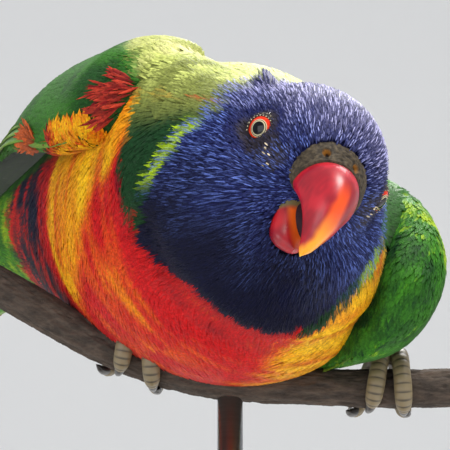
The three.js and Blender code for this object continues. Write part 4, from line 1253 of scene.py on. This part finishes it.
rng = np.random.default_rng(81)
pair = np.repeat(np.arange(6), 2)
side = np.tile([1, -1], 6)
length = TAIL_LENGTH * (1 - 0.085 * pair) * rng.uniform(0.985, 1.015, 12)
t, c, crown, _ = PLUME
along = length[:, None] * t
half = np.where(pair == 0, TAIL_HALF, TAIL_HALF * 0.9)
level = np.where(pair == 0, 2.2 + side * 0.425, 1.8 - 0.85 * pair)
aside = side * np.where(pair == 0, 1.2, TAIL_HALF / 2 + 0.3)
splay = np.where(pair == 0, 0, TAIL_HALF / 2)
spread = np.sign(aside)[:, None] * np.clip(along / 30, 0, 1) * splay[:, None]
fan = along * np.sin(np.radians(side * 1.25 * pair))[:, None]
y = aside[:, None] + spread + fan + half[:, None] * c
sag = -0.1 * (half[:, None] * c) ** 2 / TAIL_HALF
points = placed(np.stack([-along, y, level[:, None] + sag + 0.4 * crown], -1), TAIL)
spots = np.stack([0.08 + 0.07 * np.arange(12), np.full(12, 0.3)], 1)
piece = feather_piece("tail_feathers", PLUME, points, tail_green(pair, t, c, crown, rng), length, half, spots)
ride_as(piece, tail_finish, "tail_feathers", "tail")
for title, face, high, reach in (("upper", 1, 4.9, 44), ("under", -1, -5.3, 56)):
    place, row = (part.ravel() for part in np.meshgrid(np.linspace(-2, 2, 9), np.arange(4), indexing="ij"))
    length = (reach - 9 * row) * (1 - 0.08 * np.abs(place))
    half = np.full(len(place), 3.2) - 0.2 * row
    start = 6 - 2.0 * row
    along = length[:, None] * t
    stack = high - face * 0.85 * np.abs(place) + face * 0.35 * row
    drop = np.clip(1.6 - along / 5, 0, None) * face
    y = (place * 3.5)[:, None] * (1 + 0.006 * along) + half[:, None] * c
    height = stack[:, None] - drop - face * 0.02 * along + 0.3 * face * crown
    points = placed(np.stack([start[:, None] - along, y * face, height], -1), TAIL)
    spots = np.stack([0.1 + 0.08 * (place + 2), 0.6 + 0.05 * row], 1)
    piece = feather_piece(f"{title}_tail_coverts", PLUME, points, tail_green(place, t, c, crown, rng),
                          length, half, spots)
    ride_as(piece, tail_finish, "tail_feathers")


# Eyes: dark round pupils inside two thin cream rings, then a red iris with fine rays. A wet clear
# coat covers each. Round them stand lids of bare grey skin, beaded with small pale bumps.
LOOK = np.array([0.64, 0.762, -0.1])
EYE_RINGS = 120
EYE_SIDES = 80
PUPIL = 1.2
INNER_RING = 1.33
OUTER_RING = 1.62
IRIS_DARKENS = 2.2
EYE_EDGE = 2.8
BEADED_RING = 2.64
OUTER_BEADS = 3.14
LID_TURNS = 200

LID_RIM = np.array([
    [2.3, 2.1], [2.38, 2.72], [2.5, 2.9], [2.64, 2.94], [2.78, 2.86], [2.9, 2.68], [3.0, 2.54],
    [3.1, 2.5], [3.2, 2.42], [3.3, 2.2], [3.38, 1.9], [3.44, 1.4], [3.46, 0.9], [3.3, 0.4], [3.0, 0.5],
])


def eye_axes(side):
    """The centre of an eye and its directions outward, across and up, in the head's axes."""
    outward = LOOK * np.array([1, side, 1])
    across = np.cross(outward, [0, 0, 1.0])
    across /= np.linalg.norm(across)
    centre = (EYE_POLE - EYE_RADIUS * GAZE) * np.array([1, side, 1])
    return centre + np.array([0, 0.38 * side, 0]), outward, across, np.cross(across, outward)


def round_about(side, radial, height, turn):
    """Points at a radial distance, a height along the gaze and a turn round an eye."""
    centre, outward, across, over = eye_axes(side)
    ring = np.cos(turn)[..., None] * across + np.sin(turn)[..., None] * over
    return placed(centre + height[..., None] * outward + radial[..., None] * ring, HEAD)


eye_finish, eye_shader = finish_of("eye", 0.12)
tint = eye_finish.node_tree.nodes.new("ShaderNodeAttribute")
tint.attribute_name = "tint"
eye_finish.node_tree.links.new(tint.outputs["Color"], eye_shader.inputs["Base Color"])
eye_shader.inputs["Coat Weight"].default_value = 0.12
eye_shader.inputs["Specular IOR Level"].default_value = 0.2
eye_shader.inputs["Coat Roughness"].default_value = 0.03
lid_finish = plumage_finish("bare skin", 0.55, 0.05, 1500.0)
for name, side in SIDES.items():
    polar, turn = np.meshgrid(np.linspace(0.004, np.pi - 0.004, EYE_RINGS),
                              np.arange(EYE_SIDES) / EYE_SIDES * 2 * np.pi, indexing="ij")
    radial, height = EYE_RADIUS * np.sin(polar), EYE_RADIUS * np.cos(polar)
    points = round_about(side, radial, height, turn)
    if side > 0:
        points = points[:, ::-1]
    away = np.where(height > 0, radial, 9).ravel()
    rays = lumps(np.stack([np.cos(turn) * 3, np.sin(turn) * 3, radial * 0.4], -1), 0.35, 91).ravel()
    colour = mixed(hue("#cf2a12"), hue("#7c120c"), smoothstep(away, IRIS_DARKENS, IRIS_DARKENS + 0.4))
    colour = mixed(colour, hue("#ea6a30"), 0.35 * (rays > 0.1))
    colour = mixed(hue("#20140f"), colour, smoothstep(away, OUTER_RING, OUTER_RING + 0.12))
    inner = np.exp(-((away - INNER_RING) / 0.07) ** 2)
    outer = 0.8 * np.exp(-((away - OUTER_RING) / 0.06) ** 2)
    colour = mixed(colour, hue("#e8dcb0"), np.maximum(inner, outer))
    colour = mixed(hue("#020308"), colour, smoothstep(away, PUPIL, PUPIL + 0.06))
    colour = mixed(colour, hue("#2c2624"), smoothstep(away, EYE_EDGE, EYE_EDGE + 0.1))
    eye = put(f"{name}_eye", points.reshape(-1, 3), grid_faces(len(points), EYE_SIDES, True))
    coloured(eye, colour, np.stack([turn / 6.4, polar / 3.3], -1).reshape(-1, 2))
    ride_as(eye, eye_finish, "eye", f"eye_{name}")
    loop = through(np.concatenate([LID_RIM, LID_RIM[:1]]), np.linspace(0, 1, 61)[:-1])
    turn = np.arange(LID_TURNS) / LID_TURNS * 2 * np.pi
    first = np.exp(-((loop[:, :1] - BEADED_RING) / 0.17) ** 2) * np.clip(np.cos(turn * 24)[None], 0, 1)
    second = np.exp(-((loop[:, :1] - OUTER_BEADS) / 0.13) ** 2) * np.clip(np.cos(turn * 21 + 1.2)[None], 0, 1)
    beads = np.where(loop[:, 1:] > 1.5, first + 0.7 * second, 0)
    radial = loop[:, :1] * (1 - 0.07 * np.sin(turn)) + 0 * beads
    height = loop[:, 1:] + 0.14 * beads
    points = round_about(side, radial, height, np.broadcast_to(turn, beads.shape))
    if side > 0:
        points = points[:, ::-1]
        beads = beads[:, ::-1]
    lid = put(f"{name}_lids", points.reshape(-1, 3), grid_faces(len(loop), len(turn), True, True))
    pale = smoothstep(beads.ravel(), 0.35, 0.8)
    coloured(lid, mixed(hue("#2c2624"), hue("#cfc4a4"), pale), np.full((beads.size, 2), 0.5))
    ride_as(lid, lid_finish, "cere")


# Beak: a crimson upper half that curls down to a hooked tip and turns orange, then yellow, along
# its ridge, over the scoop of the lower half. Both are rows of ovals in the head's own axes.
UPPER_ROWS = [
    [10, 0.8, 8.2, -8, 6.2, 0.3, 0.5], [13.4, 0.8, 11, -8.6, 5.9, 0.28, 0.5],
    [16.8, -1, 13, -9.6, 4.9, 0.26, 0.5], [19.2, -4.2, 14.6, -11, 3.8, 0.26, 0.4],
    [20.2, -8, 15.6, -12.8, 2.8, 0.28, 0.4], [19.6, -12, 16, -14.4, 1.8, 0.3, 0.3],
    [18.3, -14.8, 16.2, -15.8, 1.1, 0.4, 0.2], [17, -16.9, 16.4, -16.7, 0, 0.5, 0.1],
]
LOWER_ROWS = [
    [8, -7.2, 5.4, -13, 3.8, 0.66, -1], [9.3, -9.8, 6.6, -16.2, 3.6, 0.58, -1.4],
    [11, -12.6, 8.8, -17.2, 3.1, 0.5, -1.6], [12.6, -14.8, 11.2, -17.4, 2.4, 0.5, -1.2],
    [13.6, -16.2, 13, -17, 0, 0.5, -0.3],
]
beak_finish = textured("beak", 0.36, {"Scale": 1.0, "Detail": 5.0, "Roughness": 0.6}, None, (0.12, 0.0002),
                       (900, 260, 260), tinted=True,
                       shine={"Coat Weight": 0.15, "Coat Roughness": 0.25, "Specular IOR Level": 0.4})
BEAK_RINGS = 100
BEAK_SIDES = 112
END_RINGS = 4


def upper_colours(local, t):
    """Crimson, with an orange band that widens down the ridge, a little left of it, to a yellow tip, and a
    mauve cast on the left side that is painted shade with a bluish reflection.
    """
    band = smoothstep(np.abs(local[:, 1] - 0.9 + 0.3 * lumps(local, 1.6, 103)), 1.9, 0.7)
    scratch = lumps(local * [1, 1, 0.35], 0.5, 104)
    patchy = lumps(local, 2.5, 101) + 0.4 * scratch
    colour = mixed(hue("#8a0a1c"), hue("#b41626"), smoothstep(patchy, -0.6, 0.8))
    # Painted shade with a bluish reflection: mauve over the left side of the upper half.
    colour = mixed(colour, hue("#a04a58"), 0.45 * smoothstep(local[:, 1], 3.2, 5.6))
    colour = mixed(colour, hue("#dc4a10"), smoothstep(t, 0.26, 0.46) * band)
    band = np.maximum(band, smoothstep(t, 0.78, 0.92))
    colour = mixed(colour, hue("#ef9c0e"), smoothstep(t, 0.52, 0.76) * band)
    return mixed(colour, hue("#f0c850"), smoothstep(t, 0.93, 1.0))


def lower_colours(local, t):
    """Crimson, with an orange rim at the cutting edge that is painted light on its upward face, and olive
    skin at the corner of the mouth.
    """
    colour = mixed(hue("#840c1c"), hue("#b01a20"), smoothstep(lumps(local, 2.0, 102), -0.6, 0.6))
    # Painted light: the upward face of the cutting edge lit orange.
    rim = smoothstep(local[:, 2] + 0.9 * (local[:, 0] - 8) + 0.4 * local[:, 1], -11.6, -10.4)
    colour = mixed(colour, hue("#e4661a"), rim * smoothstep(t, 0.12, 0.3))
    return mixed(colour, hue("#6c6640"), smoothstep(t, 0.26, 0.16))


for title, rows, node, paint in (("upper_half", UPPER_ROWS, "upper_beak", upper_colours),
                                 ("lower_half", LOWER_ROWS, "lower_beak", lower_colours)):
    local = closed_rows(oval_form(rows, BEAK_RINGS, BEAK_SIDES), END_RINGS)
    ends = np.zeros(END_RINGS)
    t = np.repeat(np.concatenate([ends, np.linspace(0, 1, BEAK_RINGS), ends + 1]), BEAK_SIDES)
    flat = local.reshape(-1, 3)
    half = put(title, placed(flat, HEAD), grid_faces(len(local), BEAK_SIDES, True))
    coloured(half, paint(flat, t), unwrap(placed(flat, HEAD)))
    ride_as(half, beak_finish, "beak", node)


# Mouth: the dark moist lining between the two halves of the beak, a small closed form of the same
# kind of rows.
MOUTH_ROWS = [
    [6, -7, 4, -10, 0, 0.5, 0], [7, -7, 5.4, -11.6, 3.6, 0.5, 0], [10, -8.6, 8.4, -13.4, 2.8, 0.5, 0.4],
    [12, -10.4, 10.6, -14, 1.6, 0.5, 0.6], [13, -12, 12.4, -13.2, 0, 0.5, 0.6],
]
MOUTH_SIDES = 48
local = oval_form(MOUTH_ROWS, 40, MOUTH_SIDES)
mouth = put("mouth", placed(local.reshape(-1, 3), HEAD), grid_faces(len(local), MOUTH_SIDES, True))
mouth_finish = textured("mouth lining", 0.7, {"Scale": 700.0, "Detail": 3.0},
                        [(0, (0.010, 0.006, 0.010)), (1, (0.045, 0.018, 0.024))],
                        shine={"Specular IOR Level": 0.15})
ride_as(mouth, mouth_finish, "beak")


# Cere: a rough olive-grey band of bare skin round the beak's root, pierced by two nostrils, with painted
# shade in the dips of its roughness and deep in the nostrils.
CERE_ROWS = [
    [6.8, 3.8, 6.2, -6.8, 7.1, 0.45, 0.3], [7.8, 4.2, 6.8, -7.4, 7.4, 0.42, 0.5],
    [9.4, 3.2, 7.8, -7.8, 7.2, 0.36, 0.5], [11.2, 1.2, 9, -7.8, 6.5, 0.3, 0.5],
]
NOSTRIL = np.array([10.1, 3.1, 1.7])
CERE_MIDDLE = np.array([7.6, 0.2, -1.6])
CERE_SIDES = 200
local = closed_rows(oval_form(CERE_ROWS, 90, CERE_SIDES), END_RINGS)
flat = local.reshape(-1, 3)
outward = flat - CERE_MIDDLE
outward /= np.linalg.norm(outward, axis=1, keepdims=True)
hollow = np.zeros(len(flat))
for side in (-1, 1):
    gap = np.linalg.norm((flat - NOSTRIL * [1, side, 1]) / [1.1, 0.8, 0.9], axis=1)
    hollow = np.maximum(hollow, smoothstep(gap, 1.15, 0.45))
rough = 0.08 * lumps(flat, 0.6, 111) + 0.1 * lumps(flat, 0.3, 112)
flat = flat + outward * (rough * (1 - hollow) - 1.1 * hollow + 0.15)[:, None]
cere_finish = plumage_finish("cere", 0.6, 0.05, 1400.0)
cere = put("cere_band", placed(flat, HEAD), grid_faces(len(local), CERE_SIDES, True))
# Painted shade: darker in the dips of the roughness and paler on its bumps.
colour = mixed(hue("#1e1a17"), hue("#5c5140"), smoothstep(rough, -0.2, 0.25))
colour = mixed(colour, hue("#8c5a1c"), smoothstep(hollow, 0.05, 0.5))
# Painted shade deep in each nostril.
colour = mixed(colour, hue("#1a0f08"), smoothstep(hollow, 0.6, 1.0))
coloured(cere, colour, unwrap(placed(flat, HEAD)))
ride_as(cere, cere_finish, "cere", "cere")


# Feet: short shanks and four scaly toes each, two forward and two back, closed round the branch,
# with separate dark claws.
FOOT_AT = {"left": 36, "right": -12.8}
TOE_TURN = np.array([-5, 35, 70, 105, 135, 155])
TOE_THICK = np.array([2.1, 1.85, 1.7, 1.75, 1.55, 0.9])
CLAW_TURN = np.array([132, 150, 168, 186, 203])
CLAW_THICK = np.array([1.0, 1.05, 0.85, 0.55, 0.06])
TOES = [(1, 1.8, 3, 1), (1, -1, -4.5, 0.92), (-1, 1.6, 4, 0.92), (-1, -1.6, -8.5, 0.92)]
TOE_RINGS = 90
CLAW_RINGS = 40
SHANK_RINGS = 60
FOOT_SIDES = 40
CLAW_SIDES = 24
PLATES = 13
SCALY = hue("#74674c")
scale_finish = textured("scaly skin", 0.5, {"Scale": 900.0, "Detail": 4.0}, None, (0.3, 0.0002), tinted=True)
claw_finish = textured("claw", 0.3, {"Scale": 500.0, "Detail": 4.0}, None, (0.3, 0.0002), tinted=True)


def branch_height(x):
    """The height of the perch's middle line."""
    rows = np.array(PERCH_RISE)
    return PERCH_HEIGHT + np.interp(x, rows[:, 0], rows[:, 1])


def grip(name, toe, turns, thick, rings):
    """A path of points and radii that closes round the branch, from a toe's root towards its claw."""
    way, start, end, reach = toe
    rows = np.stack([turns, thick, np.linspace(0, 1, len(turns))], 1)
    turn, radius, _ = through(rows, np.linspace(0, 1, rings)).T
    share = np.interp(turn, [-5, 205], [0, 1])
    angle = way * np.radians(turn * reach)
    x = FOOT_AT[name] + start + (end - start) * share
    around = PERCH_RADIUS * 1.03 + 0.3 + np.maximum(radius, 0.5)
    return np.stack([x, -around * np.sin(angle), branch_height(x) + around * np.cos(angle)], 1), radius, angle


def united(title, parts):
    """One mesh of several tubes, each given as its rings of points and its colours."""
    faces, total = [], 0
    for points, _ in parts:
        faces.append(grid_faces(points.shape[0], points.shape[1], True) + total)
        total += points.shape[0] * points.shape[1]
    piece = put(title, np.concatenate([points.reshape(-1, 3) for points, _ in parts]), np.concatenate(faces))
    coloured(piece, np.concatenate([colours for _, colours in parts]), np.full((total, 2), 0.5))
    return piece


for name in ("left", "right"):
    foot_parts, claw_parts = [], []
    for toe in TOES:
        path, radius, angle = grip(name, toe, TOE_TURN, TOE_THICK, TOE_RINGS)
        ends = np.sqrt(np.clip(1 - np.linspace(-1, 1, TOE_RINGS) ** 16, 0.01, 1))
        plates = np.abs(np.sin(np.linspace(0, PLATES * np.pi, TOE_RINGS)))[:, None]
        points, out = rope(path, (radius * ends)[:, None], FOOT_SIDES, (1, 0, 0))
        away = np.stack([0 * angle, -np.sin(angle), np.cos(angle)], 1)
        outer = np.clip((out * away[:, None]).sum(-1), 0, 1)
        points = points + out * (0.16 * (plates ** 0.5 - 0.6) * outer)[..., None]
        seam = smoothstep(plates, 0.5, 0.15) * outer
        foot_parts.append((points, mixed(SCALY, hue("#2c241b"), seam.ravel())))
        path, radius, _ = grip(name, toe, CLAW_TURN, CLAW_THICK, CLAW_RINGS)
        points, _ = rope(path, radius[:, None], CLAW_SIDES, (1, 0, 0))
        claw_parts.append((points, np.broadcast_to(hue("#241f1d"), (CLAW_RINGS * CLAW_SIDES, 3))))
    x = FOOT_AT[name]
    top = branch_height(x) + PERCH_RADIUS + 1.75
    rows = [[x - 9.5, 3, top + 8.5, 3.4], [x - 4, 1, top + 3, 2.7], [x, 0, top + 0.4, 2.4]]
    path = through(rows, np.linspace(0, 1, SHANK_RINGS))
    points, _ = rope(path[:, :3], path[:, 3:], FOOT_SIDES, (0, 1, 0))
    foot_parts.append((points, np.broadcast_to(SCALY, (SHANK_RINGS * FOOT_SIDES, 3))))
    ride_as(united(f"{name}_foot", foot_parts), scale_finish, "leg_skin", f"leg_{name}")
    ride_as(united(f"{name}_claws", claw_parts), claw_finish, "leg_skin")
